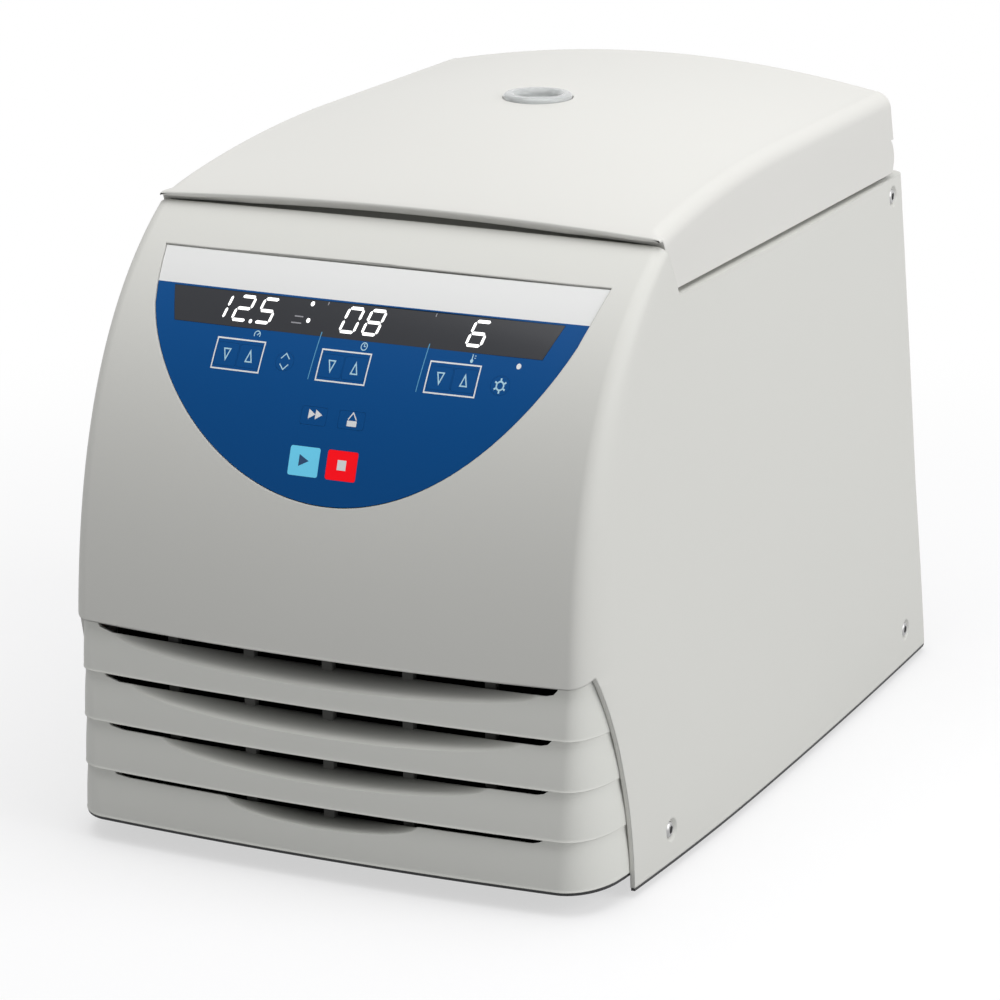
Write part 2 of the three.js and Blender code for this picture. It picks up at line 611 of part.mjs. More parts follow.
function makePowerInlet() {
  const [halfWidth, halfHeight] = [inlet.width / 2, inlet.height / 2];
  const y = rearYAt(inlet.z + halfHeight + inlet.flange) - rearPanel.thickness;
  const body = block([inletX - halfWidth, inletX + halfWidth], [y - inlet.depth, rearYAt(inlet.z)],
    [inlet.z - halfHeight, inlet.z + halfHeight]);
  const socket = block([inletX - halfWidth + inlet.wall, inletX + halfWidth - inlet.wall],
    [y - inlet.depth + inlet.wall, rearYAt(inlet.z) + overrun],
    [inlet.z - halfHeight + inlet.wall, inlet.z + halfHeight - inlet.wall]);
  const flange = block([inletX - halfWidth - inlet.flange, inletX + halfWidth + inlet.flange],
    [y - 2 * inlet.flangeThickness - seat, y - inlet.flangeThickness - seat],
    [inlet.z - halfHeight - inlet.flange / 2, inlet.z + halfHeight + inlet.flange / 2]);
  const pins = [-1, 0, 1].map((i) => {
    const x = inletX + i * inlet.width / 5;
    return block([x - inlet.wall / 2, x + inlet.wall / 2], [y - inlet.depth, y - inlet.wall],
      [inlet.z - inlet.wall, inlet.z + inlet.wall]);
  });
  return union([body.add(flange).subtract(socket), ...pins]);
}

// Rocker: a wedge that stands out at one end, carried on its cross pin inside a frame
function makeRocker() {
  const y = rearYAt(rocker.z) - rocker.pivotInset;
  const half = rocker.height / 2 - rocker.endGap;
  const reach = rocker.pivotInset - seat;
  const [c, s] = [Math.cos(rocker.tilt), Math.sin(rocker.tilt)];
  const outline = [[-rocker.depth / 2, -half / 2], [reach, -half], [reach - rocker.dip, 0],
    [reach, half], [-rocker.depth / 2, half / 2]]
    .map(([v, w]) => [y + c * v - s * w, rocker.z + s * v + c * w]);
  const halfWidth = rocker.width / 2 - rocker.frame;
  return alongX(outline, rockerX - halfWidth, rockerX + halfWidth);
}

function makeSwitchFrame() {
  const y = rearYAt(rocker.z);
  const [halfWidth, halfHeight] = [rocker.width / 2, rocker.height / 2];
  const outer = block([rockerX - halfWidth, rockerX + halfWidth],
    [y - rocker.pivotInset - rocker.depth, y - seat], [rocker.z - halfHeight, rocker.z + halfHeight]);
  const wall = rocker.frame - seat;
  const well = block([rockerX - halfWidth + wall, rockerX + halfWidth - wall],
    [y - rocker.pivotInset - rocker.depth + overrun, y + overrun],
    [rocker.z - halfHeight + seat, rocker.z + halfHeight - seat]);
  return outer.subtract(well);
}

// Base

function makeBaseTray() {
  const z = [base.bottomZ, base.bottomZ + base.rim];
  const side = housing.wall + louvre.sideGap + louvre.returnWall + base.sideGap;
  const ring = (at, inset) => levelRing(at, base.frontY + inset, {
    side: side + inset, rear: base.rearInset + inset, narrower: base.corner + inset });
  const outer = loft(z.map((at) => ring(at, 0)));
  const inner = loft([z[0] + base.thickness, z[1] + overrun].map((at) => ring(at, base.rimWall)));
  let tray = outer.subtract(inner);
  for (let i = 0; i < base.ventCount; i += 1) {
    const x = (i - (base.ventCount - 1) / 2) * base.ventPitch;
    tray = tray.subtract(block([x - base.ventWidth / 2, x + base.ventWidth / 2],
      [base.ventY, base.ventY + base.ventLength], [0, z[1] + overrun]));
  }
  return tray;
}

function makeFoot(x, y) {
  const top = base.bottomZ - seat;
  const edge = foot.radius - foot.topRadius;
  return turned([[0, -footDrop], [foot.topRadius, -footDrop], [foot.radius, edge - footDrop],
    [foot.radius, top], [0, top]], 14, x, y);
}

// Chamber

const bowlTopZ = housing.deckZ + seat + chamber.flangeThickness;
const bowlFloorZ = bowlTopZ - chamber.depth;

function makeBowl() {
  const { radius, wall, corner, flange, shaftHole } = chamber;
  const bend = (r, turnRadius, steps) => Array.from({ length: steps + 1 }, (unused, i) => {
    const angle = -Math.PI / 2 + i / steps * Math.PI / 2;
    return [r - corner + turnRadius * Math.cos(angle), bowlFloorZ + corner + turnRadius * Math.sin(angle)];
  });
  const inside = bend(radius, corner, 2);
  const outside = bend(radius, corner + wall, 2).reverse();
  return turned([[shaftHole, bowlFloorZ], ...inside, [radius, bowlTopZ], [radius + flange, bowlTopZ],
    [radius + flange, bowlTopZ - chamber.flangeThickness],
    [radius + wall, bowlTopZ - chamber.flangeThickness], ...outside, [shaftHole, bowlFloorZ - wall],
    [shaftHole, bowlFloorZ]], chamber.sides, 0, chamber.centreY);
}

// The evaporator: turns of tube pressed side by side against the bowl, joined into one ribbed sleeve
function makeEvaporator() {
  const inner = chamber.radius + chamber.wall + seat;
  const outer = inner + chamber.coilTube;
  const web = inner + chamber.coilTube / 3;
  const topZ = bowlTopZ - chamber.coilTopDrop;
  const profile = [[inner, topZ]];
  for (let i = 0; i < chamber.coilTurns; i += 1) {
    const z = topZ - i * chamber.coilPitch;
    profile.push([web, z], [outer, z - chamber.coilPitch / 2]);
  }
  profile.push([inner, topZ - chamber.coilTurns * chamber.coilPitch], [inner, topZ]);
  return turned(profile, chamber.sides, 0, chamber.centreY);
}

function makeInsulation() {
  const [inner, outer] = [insulationInner, insulationOuter];
  const topZ = housing.deckZ - housing.wall - seat;
  const floorZ = bowlFloorZ - chamber.wall - seat;
  const bottomZ = floorZ - chamber.insulation;
  const hole = chamber.shaftHole + motor.bossRadius / 2;
  return turned([[hole, bottomZ], [outer, bottomZ], [outer, topZ], [inner, topZ],
    [inner, floorZ + chamber.corner / 2], [inner - chamber.corner, floorZ], [hole, floorZ], [hole, bottomZ]],
  chamber.sides, 0, chamber.centreY);
}

// Rotor, turned about the vertical axis, with a lobe for each tube on its underside

const rotorBottomZ = bowlFloorZ + rotor.floorGap;
const rotorTopZ = rotorBottomZ + rotor.height;

function makeRotor() {
  const { radius, rimHeight, bottomRadius, lobes, lobeDepth, hubRadius } = rotor;
  const ring = (z, r, depth) => {
    const sides = lobes * 2;
    return Array.from({ length: sides }, (unused, i) => {
      const angle = i / sides * 2 * Math.PI;
      const wave = depth * (1 - Math.abs(Math.cos(angle * lobes / 2)));
      const reach = r - wave;
      return new THREE.Vector3(reach * Math.cos(angle), chamber.centreY + reach * Math.sin(angle), z);
    });
  };
  const body = loft([
    ring(rotorBottomZ, bottomRadius, lobeDepth),
    ring(rotorTopZ - 1.6 * rimHeight, radius - lobeDepth, lobeDepth),
    ring(rotorTopZ - rimHeight, radius, 0), ring(rotorTopZ, radius, 0),
  ]);
  const taper = (motor.coneRadius - motor.coneTip) / motor.coneLength;
  const bore = rod(motor.coneRadius + seat + overrun * taper, [0, chamber.centreY, rotorBottomZ - overrun],
    [0, chamber.centreY, rotorBottomZ + motor.coneLength + seat], 24, motor.coneTip + seat);
  const underCut = rod(bottomRadius - 3 * lobeDepth, [0, chamber.centreY, rotorBottomZ - overrun],
    [0, chamber.centreY, rotorBottomZ + overrun * 2], 32, hubRadius);
  return body.subtract(underCut).add(rod(hubRadius, [0, chamber.centreY, rotorBottomZ],
    [0, chamber.centreY, rotorBottomZ + rimHeight], 24)).subtract(bore);
}

function makeRotorLid() {
  const z = rotorTopZ + seat;
  const { radius, lidHeight, lidLip, hubRadius } = rotor;
  return turned([[0, z], [radius - lidLip, z], [radius, z + lidLip / 2], [radius, z + lidLip],
    [radius - lidLip, z + lidHeight - lidLip], [radius - 3 * lidLip, z + lidHeight - lidLip],
    [hubRadius + 2 * lidLip, z + lidHeight - lidLip / 2], [hubRadius, z + lidHeight], [0, z + lidHeight]],
  24, 0, chamber.centreY);
}

function makeRotorKnob() {
  const z = rotorTopZ + rotor.lidHeight + 2 * seat;
  const { knobRadius, knobHeight, knobFlutes, fluteRadius } = rotor;
  const knob = turned([[0, z], [knobRadius - fluteRadius, z], [knobRadius, z + fluteRadius],
    [knobRadius, z + knobHeight - fluteRadius], [knobRadius - fluteRadius, z + knobHeight],
    [0, z + knobHeight]], 20, 0, chamber.centreY);
  const flutes = Array.from({ length: knobFlutes }, (unused, i) => {
    const angle = i / knobFlutes * 2 * Math.PI;
    const [x, y] = [knobRadius * Math.cos(angle), chamber.centreY + knobRadius * Math.sin(angle)];
    return rod(fluteRadius, [x, y, z - overrun], [x, y, z + knobHeight + overrun], 6);
  });
  return knob.subtract(union(flutes));
}

// Motor on three rubber dampers

function makeMotorShaft() {
  const [x, y] = [0, chamber.centreY];
  const bearingZ = motor.topZ + motor.bossHeight + seat;
  return turned([[0, bearingZ], [motor.shaftRadius, bearingZ], [motor.shaftRadius, rotorBottomZ - overrun],
    [motor.coneRadius, rotorBottomZ - overrun / 2], [motor.coneRadius, rotorBottomZ],
    [motor.coneTip, rotorBottomZ + motor.coneLength], [0, rotorBottomZ + motor.coneLength]], 16, x, y);
}

function makeMotorHousing() {
  const y = chamber.centreY;
  const { radius, bottomZ, topZ, flangeRadius, flangeThickness, bossRadius, bossHeight } = motor;
  const body = turned([[0, bottomZ], [flangeRadius, bottomZ], [flangeRadius, bottomZ + flangeThickness],
    [radius, bottomZ + flangeThickness], [radius, topZ - flangeThickness], [radius - flangeThickness, topZ],
    [bossRadius, topZ], [bossRadius, topZ + bossHeight], [0, topZ + bossHeight]], 16, 0, y);
  const ribs = Array.from({ length: motor.ribCount }, (unused, i) => {
    const ribHeight = topZ - bottomZ - 2 * flangeThickness;
    const geometry = new THREE.BoxGeometry(motor.ribReach, motor.ribThickness, ribHeight);
    geometry.translate(motor.ribReach / 2, 0, (topZ + bottomZ) / 2);
    geometry.rotateZ((i + 0.5) / motor.ribCount * 2 * Math.PI);
    geometry.translate(0, y, 0);
    return solidOf(geometry);
  });
  return union([body, ...ribs]);
}

const damperAngles = Array.from({ length: damper.count }, (unused, i) =>
  -Math.PI / 2 + i / damper.count * 2 * Math.PI);
const damperTopZ = motor.bottomZ - seat;
const plateTopZ = damperTopZ - damper.height - seat;

function makeDamper(angle) {
  const [x, y] = [damper.ring * Math.cos(angle), chamber.centreY + damper.ring * Math.sin(angle)];
  const z = damperTopZ - damper.height;
  const { radius, stud, waist, height } = damper;
  return turned([[0, z], [radius, z], [radius, z + stud], [waist, z + height / 2],
    [radius, damperTopZ - stud], [radius, damperTopZ], [0, damperTopZ]], 10, x, y);
}

function makeMotorPlate() {
  const bottomZ = base.bottomZ + base.thickness + seat;
  const legs = damperAngles.map((angle) => {
    const [x, y] = [motorPlate.legRing * Math.cos(angle + Math.PI / damper.count),
      chamber.centreY + motorPlate.legRing * Math.sin(angle + Math.PI / damper.count)];
    return rod(motorPlate.legRadius, [x, y, bottomZ], [x, y, plateTopZ - motorPlate.thickness / 2], 8);
  });
  const disc = rod(motorPlate.radius, [0, chamber.centreY, plateTopZ - motorPlate.thickness],
    [0, chamber.centreY, plateTopZ], 24);
  const hole = rod(motorPlate.holeRadius, [0, chamber.centreY, 0],
    [0, chamber.centreY, plateTopZ + overrun], 18);
  return union([disc, ...legs]).subtract(hole);
}

// Refrigeration

function makeCondenser() {
  const { halfWidth, y, depth, bottomZ, topZ, fins, finThickness, tubeRadius, tubes, endPlate } = condenser;
  const plates = Array.from({ length: fins }, (unused, i) => {
    const thickness = i === 0 || i === fins - 1 ? endPlate : finThickness;
    const x = mix(-halfWidth, halfWidth - thickness, i / (fins - 1));
    return block([x, x + thickness], [y, y + depth], [bottomZ, topZ]);
  });
  const pipes = Array.from({ length: tubes }, (unused, i) => {
    const z = mix(bottomZ, topZ, (i + 0.5) / tubes);
    const reach = halfWidth + endPlate;
    return rod(tubeRadius, [-reach, y + depth / 2, z], [reach, y + depth / 2, z], 4);
  });
  const rails = [bottomZ, topZ - finThickness].map((z) => block(
    [-halfWidth, halfWidth], [y, y + depth], [z, z + finThickness]));
  const feet = [-1, 1].map((hand) => block(
    [hand * halfWidth - endPlate, hand * halfWidth + endPlate], [y, y + depth],
    [base.bottomZ + base.thickness + seat, bottomZ + overrun]));
  return union([...plates, ...pipes, ...rails, ...feet]);
}

const fanY = condenser.y + condenser.depth + shroud.depth / 2;
const fanZ = (shroud.bottomZ + shroud.topZ) / 2;

function makeFanShroud() {
  const y0 = condenser.y + condenser.depth + seat;
  const y1 = y0 + shroud.depth;
  const { halfWidth, wall, openingRadius, motorRadius, motorLength, spokeWidth } = shroud;
  const box = block([-halfWidth, halfWidth], [y0, y1], [shroud.bottomZ, shroud.topZ]);
  const hollow = block([-halfWidth + wall, halfWidth - wall], [y0 - overrun, y1 - wall],
    [shroud.bottomZ + wall, shroud.topZ - wall]);
  const opening = rod(openingRadius, [0, y1 - 2 * wall, fanZ], [0, y1 + overrun, fanZ], 28);
  const hub = rod(motorRadius, [0, y1 - wall, fanZ], [0, y1 + motorLength, fanZ], 16);
  const spokes = [0, 1, 2].map((i) => {
    const geometry = new THREE.BoxGeometry(openingRadius + wall, wall, spokeWidth);
    geometry.translate((openingRadius + wall) / 2, 0, 0);
    geometry.rotateY(i / 3 * 2 * Math.PI + Math.PI / 2);
    geometry.translate(0, y1 - wall / 2, fanZ);
    return solidOf(geometry);
  });
  return union([box.subtract(hollow).subtract(opening), hub, ...spokes]);
}

function makeFanImpeller() {
  const y1 = condenser.y + condenser.depth + shroud.depth - shroud.wall;
  const y0 = y1 - fan.depth - seat;
  const hub = rod(fan.hubRadius, [0, y0, fanZ], [0, y1 - seat, fanZ], 14);
  const blades = Array.from({ length: fan.blades }, (unused, i) => {
    const geometry = new THREE.BoxGeometry(fan.radius, fan.bladeThickness, fan.depth * 1.2);
    geometry.rotateX(fan.pitch + Math.PI / 2);
    geometry.translate(fan.radius / 2, 0, 0);
    geometry.rotateY(i / fan.blades * 2 * Math.PI);
    geometry.translate(0, (y0 + y1 - seat) / 2, fanZ);
    return solidOf(geometry);
  });
  const sweep = rod(fan.radius, [0, y0, fanZ], [0, y1 - seat, fanZ], 20);
  return hub.add(union(blades).intersect(sweep));
}

function makeCompressor() {
  const { sideInset, y, radius, height, domeHeight, stubRadius } = compressor;
  const x = housing.halfWidth - sideInset;
  const z = base.bottomZ + base.thickness + seat;
  const canZ = z + compressor.gromHeight;
  const can = turned([[0, canZ], [radius - domeHeight / 2, canZ], [radius, canZ + domeHeight / 2],
    [radius, canZ + height - domeHeight], [radius * 0.82, canZ + height - domeHeight * 0.35],
    [radius * 0.45, canZ + height], [0, canZ + height]], 14, x, y);
  const plate = block([x - compressor.footWidth / 2, x + compressor.footWidth / 2],
    [y - compressor.footDepth / 2, y + compressor.footDepth / 2], [canZ, canZ + compressor.footThickness]);
  const grommets = [-1, 1].flatMap((u) => [-1, 1].map((v) => rod(compressor.gromRadius,
    [x + u * compressor.gromX, y + v * compressor.gromY, z],
    [x + u * compressor.gromX, y + v * compressor.gromY, canZ + compressor.footThickness + stubRadius], 8)));
  const stub = rod(stubRadius, [x - radius + stubRadius, y, canZ + height / 2],
    [x - radius - stubRadius * 2, y, canZ + height / 2], 10);
  return union([can, plate, ...grommets, stub]);
}

const drierX = drier.sideInset - housing.halfWidth;

function makeFilterDrier() {
  const { y, z, radius, length, neck, neckLength, saddle } = drier;
  const x = drierX;
  const [y0, y1] = [y - length / 2, y + length / 2];
  const body = rod(radius, [x, y0, z], [x, y1, z], 12);
  const ends = [rod(radius, [x, y1, z], [x, y1 + neckLength, z], 12, neck),
    rod(neck, [x, y0 - neckLength, z], [x, y0, z], 12, radius)];
  const clip = block([x - saddle / 2, x + saddle / 2], [y - saddle, y + saddle],
    [base.bottomZ + base.thickness + seat, z]);
  return union([body, ...ends, clip]);
}

// Liquid line from the end of the condenser, along the left side of the base, to the drier
function makeRefrigerantLine() {
  const startX = -condenser.halfWidth - condenser.endPlate - seat;
  const z = mix(condenser.bottomZ, condenser.topZ, 0.5 / condenser.tubes);
  const y0 = condenser.y + condenser.depth / 2;
  const y1 = drier.y - drier.length / 2 - drier.neckLength - seat;
  const { bend } = lineTube;
  const lane = startX - bend;
  const path = new THREE.CatmullRomCurve3([
    [startX, y0, z], [startX - bend / 2, y0, z], [lane, y0 + bend / 2, z], [lane, y0 + 2 * bend, z],
    [mix(lane, drierX, 0.2), mix(y0, y1, 0.45), mix(z, drier.z, 0.2)],
    [mix(lane, drierX, 0.8), mix(y0, y1, 0.75), mix(z, drier.z, 0.8)],
    [drierX, y1 - bend, drier.z], [drierX, y1, drier.z],
  ].map((p) => new THREE.Vector3(...p)));
  const section = new THREE.Shape().absarc(0, 0, lineTube.radius, 0, 2 * Math.PI);
  return solidOf(new THREE.ExtrudeGeometry(section, {
    extrudePath: path, steps: lineTube.steps, curveSegments: lineTube.sides, bevelEnabled: false }));
}

function makePowerBoard() {
  const { sideInset, y, width, length, thickness, postRadius, postHeight } = powerBoard;
  const x = sideInset - housing.halfWidth;
  const z = base.bottomZ + base.thickness + seat;
  const boardZ = z + postHeight;
  const sheet = block([x - width / 2, x + width / 2], [y - length / 2, y + length / 2],
    [boardZ, boardZ + thickness]);
  const inset = 2 * postRadius;
  const posts = [-1, 1].flatMap((u) => [-1, 1].map((v) => {
    const [px, py] = [x + u * (width / 2 - inset), y + v * (length / 2 - inset)];
    return rod(postRadius, [px, py, z], [px, py, boardZ + thickness / 2], 8);
  }));
  const topZ = boardZ + thickness;
  const transformer = block([x - powerBoard.blockWidth / 2, x + powerBoard.blockWidth / 2],
    [y - length / 4 - powerBoard.blockLength / 4, y - length / 4 + powerBoard.blockLength / 2],
    [topZ - thickness / 2, topZ + powerBoard.blockHeight]);
  const capacitors = [-1, 1].map((u) => rod(powerBoard.capRadius,
    [x + u * width / 4, y + length / 3, topZ - thickness / 2],
    [x + u * width / 4, y + length / 3, topZ + powerBoard.capHeight], 16));
  return union([sheet, ...posts, transformer, ...capacitors]);
}

// Control panel

function displayOutlineRows(grow) {
  const { leftInset, rightInset, bottomTaper, topZ, bottomZ } = display;
  const [left, right] = [leftInset - panelHalfWidth, panelHalfWidth - rightInset];
  return [[bottomZ - grow, left + bottomTaper - grow, right - bottomTaper + grow], [topZ + grow, left - grow,
    right + grow]];
}

const keys = [
  ...['speed', 'time', 'temp'].flatMap((name, i) => ['down', 'up'].map((step, j) => ({
    name: `key_${name}_${step}`, x: panelHalfWidth * pairMiddleShares[i] + (j - 0.5) * keyRows.pairs.pitch,
    ...keyRows.pairs, color: shades.keys }))),
  { name: 'key_ramp', x: panelHalfWidth * roundKeyShares.ramp, ...keyRows.round, color: shades.keys },
  { name: 'key_precool', x: panelHalfWidth * roundKeyShares.precool, ...keyRows.round, color: shades.keys },
  { name: 'key_pulse', x: keyX(keyRows.soft, -1), ...keyRows.soft, color: shades.keys },
  { name: 'key_open', x: keyX(keyRows.soft, 1), ...keyRows.soft, color: shades.keys },
  { name: 'key_start', x: keyX(keyRows.main, -1), ...keyRows.main, color: shades.cyan },
  { name: 'key_stop', x: keyX(keyRows.main, 1), ...keyRows.main, color: shades.red },
];

function keyX(row, hand) {
  return row.middleX + hand * row.pitch / 2;
}

function keyCutter(key, grow, innerLift, outerLift) {
  return key.radius
    ? faceDisc(key.x, key.z, key.radius + grow, innerLift, outerLift)
    : faceBlock(key.x, key.z, key.width + 2 * grow, key.height + 2 * grow, innerLift, outerLift);
}

const panelTopLift = -panel.recess + panel.bed + panel.thickness;

function makeKeypadOverlay() {
  const sheet = facePlate(panelRows(0, panel.topZ), -panel.recess + panel.bed, panelTopLift, 4);
  const holes = keys.map((key) => keyCutter(key, keyGap, -2 * housing.wall, 2 * overrun));
  holes.push(facePlate(displayOutlineRows(keyGap), -2 * housing.wall, 2 * overrun, 4));
  return sheet.subtract(union(holes));
}

function makeKey(key) {
  const slab = facePlate(
    [-1, 1].map((share) => {
      const reach = (key.radius ?? key.height / 2) + overrun;
      const half = (key.radius ?? key.width / 2) + overrun;
      return [key.z + share * reach, key.x - half, key.x + half];
    }), panelTopLift - keyThickness, panelTopLift, 1);
  return slab.intersect(keyCutter(key, 0, -2 * keyThickness, 2 * overrun));
}

function makeDisplayWindow() {
  const rows = displayOutlineRows(0);
  const [low, high] = rows;
  const middle = low.map((value, i) => (value + high[i]) / 2);
  return facePlate([low, middle, high], panelTopLift - display.thickness, panelTopLift, 8);
}

// The control board stands behind the panel on four posts that reach the back of the housing wall.
function makeControlBoard() {
  const topPoint = facePoint(0, board.topZ).point;
  const bottomPoint = facePoint(0, board.bottomZ).point;
  const up = topPoint.clone().sub(bottomPoint);
  const length = up.length();
  up.normalize();
  const right = new THREE.Vector3(1, 0, 0);
  const normal = right.clone().cross(up);
  const place = new THREE.Matrix4().makeBasis(right, up, normal)
    .setPosition(bottomPoint.clone().addScaledVector(normal, -board.behind));
  const halfWidth = panelHalfWidth - board.sideInset;
  const taper = halfWidth / 3;
  const outline = [[-taper, 0], [taper, 0], [halfWidth, length * 0.62], [halfWidth, length],
    [-halfWidth, length], [-halfWidth, length * 0.62]];
  const sheet = extruded(outline, board.thickness);
  sheet.applyMatrix4(place);
  const postReach = board.behind + 2 * board.postRadius;
  const posts = [[-1, 0.94], [1, 0.94], [-1, 0.7], [1, 0.7]].map(([hand, share]) => {
    const post = rod(board.postRadius, [0, 0, board.thickness / 2], [0, 0, postReach], 10);
    const x = hand * (halfWidth - board.postRadius - seat);
    const shift = new THREE.Matrix4().makeTranslation(x, length * share, 0);
    return post.transform(place.clone().multiply(shift).elements);
  });
  const behindWall = facePlate([[board.bottomZ - 2 * panel.ledge, -housing.halfWidth + face.cornerAcrossLip,
    housing.halfWidth - face.cornerAcrossLip], ...[0.25, 0.5, 0.75, 1].map((share) => [
    mix(board.bottomZ - 2 * panel.ledge, face.ridgeZ - 4 * overrun, share),
    -housing.halfWidth + face.cornerAcrossLip, housing.halfWidth - face.cornerAcrossLip])],
  -10 * board.behind, -housing.wall - seat, 8);
  return solidOf(sheet).add(union(posts).intersect(behindWall));
}

// Latch below the deck, in front of the chamber

const latchTopZ = housing.deckZ - housing.wall - seat;
const latchPivotZ = latchTopZ - latch.pivotDrop;
const latchBackY = latch.y + latch.slotDepth / 2 - seat;

function makeLatchHousing() {
  const { housingHalfWidth, housingDepth, housingHeight, wall } = latch;
  const y1 = latchBackY;
  const outer = block([-housingHalfWidth, housingHalfWidth], [y1 - housingDepth, y1],
    [latchTopZ - housingHeight, latchTopZ]);
  const hollow = block([-housingHalfWidth + wall, housingHalfWidth - wall],
    [y1 - housingDepth - overrun, y1 - wall], [latchTopZ - housingHeight - overrun, latchTopZ + overrun]);
  const pivot = rod(latch.pivotRadius, [-housingHalfWidth + wall / 2, latchPivotY, latchPivotZ],
    [housingHalfWidth - wall / 2, latchPivotY, latchPivotZ], 12);
  return outer.subtract(hollow).add(pivot);
}

const latchPivotY = latch.y - striker.barRadius - 2 * seat - latch.hookThickness / 2;

// The hook reaches up from its pivot in front of the striker bar and closes over it.
function makeLatchHook() {
  const tipZ = strikerBarZ + striker.barRadius + seat;
  const [y0, y1] = [latchPivotY - latch.hookThickness / 2, latchPivotY + latch.hookThickness / 2];
  const footZ = plungerZ - latch.hookThickness;
  const nose = latch.y + striker.barRadius;
  const outline = [[y0, footZ], [y1, footZ], [y1, tipZ], [nose, tipZ], [nose - striker.barRadius / 2,
    tipZ + latch.noseHeight / 2], [y0 + latch.hookThickness / 2, tipZ + latch.noseHeight],
    [y0, tipZ + latch.noseHeight / 5]];
  return alongX(outline, -latch.hookWidth / 2, latch.hookWidth / 2).subtract(rod(latch.pivotRadius + seat,
    [-latch.hookWidth, latchPivotY, latchPivotZ], [latch.hookWidth, latchPivotY, latchPivotZ], 12));
}

const strikerBarZ = liner.bottomZ - striker.drop + striker.barRadius;

function makeStriker() {
  const { halfWidth, barRadius, legWidth, plate, plateHalfWidth, plateDepth } = striker;
  const z1 = liner.bottomZ - seat;
  const mount = block([-plateHalfWidth, plateHalfWidth], [latch.y - plateDepth / 2, latch.y + plateDepth / 2],
    [z1 - plate, z1]);
  const legs = [-1, 1].map((hand) => {
    const x = hand * (halfWidth - legWidth / 2);
    return block([x - legWidth / 2, x + legWidth / 2], [latch.y - barRadius, latch.y + barRadius],
      [strikerBarZ - barRadius, z1 - plate / 2]);
  });
  const bar = rod(barRadius, [-halfWidth, latch.y, strikerBarZ], [halfWidth, latch.y, strikerBarZ], 10);
  return union([mount, ...legs, bar]);
}

// The solenoid stands in front of the hook's tail, and its plunger pushes the tail back to free the bar.
const plungerZ = latchPivotZ - latch.tail;

function makeSolenoid() {
  const y1 = latchPivotY - latch.hookThickness / 2 - seat - latch.plungerLength;
  const y0 = y1 - latch.coilLength;
  const coil = rod(latch.coilRadius, [0, y0, plungerZ], [0, y1, plungerZ], 14);
  const bore = rod(latch.plungerRadius + seat, [0, y0 + latch.wall, plungerZ],
    [0, latchPivotY, plungerZ], 12);
  const half = latch.coilRadius + latch.wall;
  const tabY = latchBackY - latch.housingDepth - seat;
  const floor = block([-half, half], [y0, tabY],
    [plungerZ - half, plungerZ - latch.coilRadius + latch.wall / 2]);
  const tab = block([-latch.housingHalfWidth, latch.housingHalfWidth], [tabY - latch.wall, tabY],
    [plungerZ - half, plungerZ + latch.coilRadius]);
  return union([coil, floor, tab]).subtract(bore);
}

// Its tip is tapered, because the tail leans away from it as the hook turns.
function makePlunger() {
  const y1 = latchPivotY - latch.hookThickness / 2 - seat;
  const shoulderY = y1 - latch.tipLength;
  const body = rod(latch.plungerRadius, [0, y1 - 2 * latch.plungerLength, plungerZ],
    [0, shoulderY, plungerZ], 12);
  return body.add(rod(latch.plungerRadius, [0, shoulderY, plungerZ], [0, y1, plungerZ], 12, latch.tipRadius));
}

// Lid: sections from the front lip to the back, each with a side wall, a round shoulder and a crown

function lidSection(y, grow) {
  const wall = -grow;
  const frontShare = THREE.MathUtils.clamp((y - lid.frontY) / (lid.crownY - lid.frontY), 0, 1);
  const rearShare = THREE.MathUtils.clamp((y - lid.crownY) / (lid.rearTopY - lid.crownY), 0, 1);
  const ease = Math.sin(frontShare * Math.PI / 2);
  const crown = (y < lid.crownY ? mix(lid.frontZ + lid.frontThickness, lid.crownZ, ease ** 0.8)
    : mix(lid.crownZ, lid.rearCrownZ, rearShare ** 2)) - wall;
  const shoulderZ = Math.min(crown, (y < lid.crownY
    ? mix(lid.frontZ + lid.frontThickness, lid.sideRearZ, ease ** 0.7) : lid.sideRearZ) - wall);
  return { crown, shoulderZ };
}

function lidHalfWidthAt(y) {
  return lidHalfWidth - lid.rearNarrowing * Math.max(y / lid.rearTopY, 0);
}

// Lower edge of the lid: level with the ridge at the front lip, slanting down to the side skirt
function lidFootAt(y) {
  const seamZ = housing.deckZ + lid.seam;
  if (y > lid.skirtFrontY) return seamZ;
  const lipY = lid.frontY + lid.lipDepth;
  return mix(lid.frontZ, seamZ, Math.max((y - lipY) / (lid.skirtFrontY - lipY), 0));
}

function lidRing(y, wall) {
  const { crown, shoulderZ } = lidSection(y, -wall);
  const footZ = wall ? lidFootAt(y) - overrun : lidFootAt(y);
  const half = lidHalfWidthAt(y) - wall;
  const radius = Math.max(lid.shoulder - wall, overrun);
  const room = Math.max(shoulderZ - footZ, overrun);
  const drop = Math.min(radius, room * 0.7);
  const right = [[half, footZ], [half, mix(footZ, shoulderZ - drop, 0.5)], [half, shoulderZ - drop]];
  for (let i = 1; i <= 3; i += 1) {
    const angle = i / 3 * Math.PI / 2;
    right.push([half - radius * (1 - Math.cos(angle)), shoulderZ - drop * (1 - Math.sin(angle))]);
  }
  const edge = half - radius;
  for (let i = 1; i <= 4; i += 1) {
    const x = edge * (1 - i / 4);
    right.push([x, crown - (crown - shoulderZ) * (x / edge) ** 2]);
  }
  const left = right.slice(0, -1).reverse().map(([x, z]) => [-x, z]);
  return [...right, ...left, [-half / 2, footZ], [0, footZ], [half / 2, footZ]].map(([x, z]) =>
    new THREE.Vector3(x, y + lidRearLean(y, z), z));
}

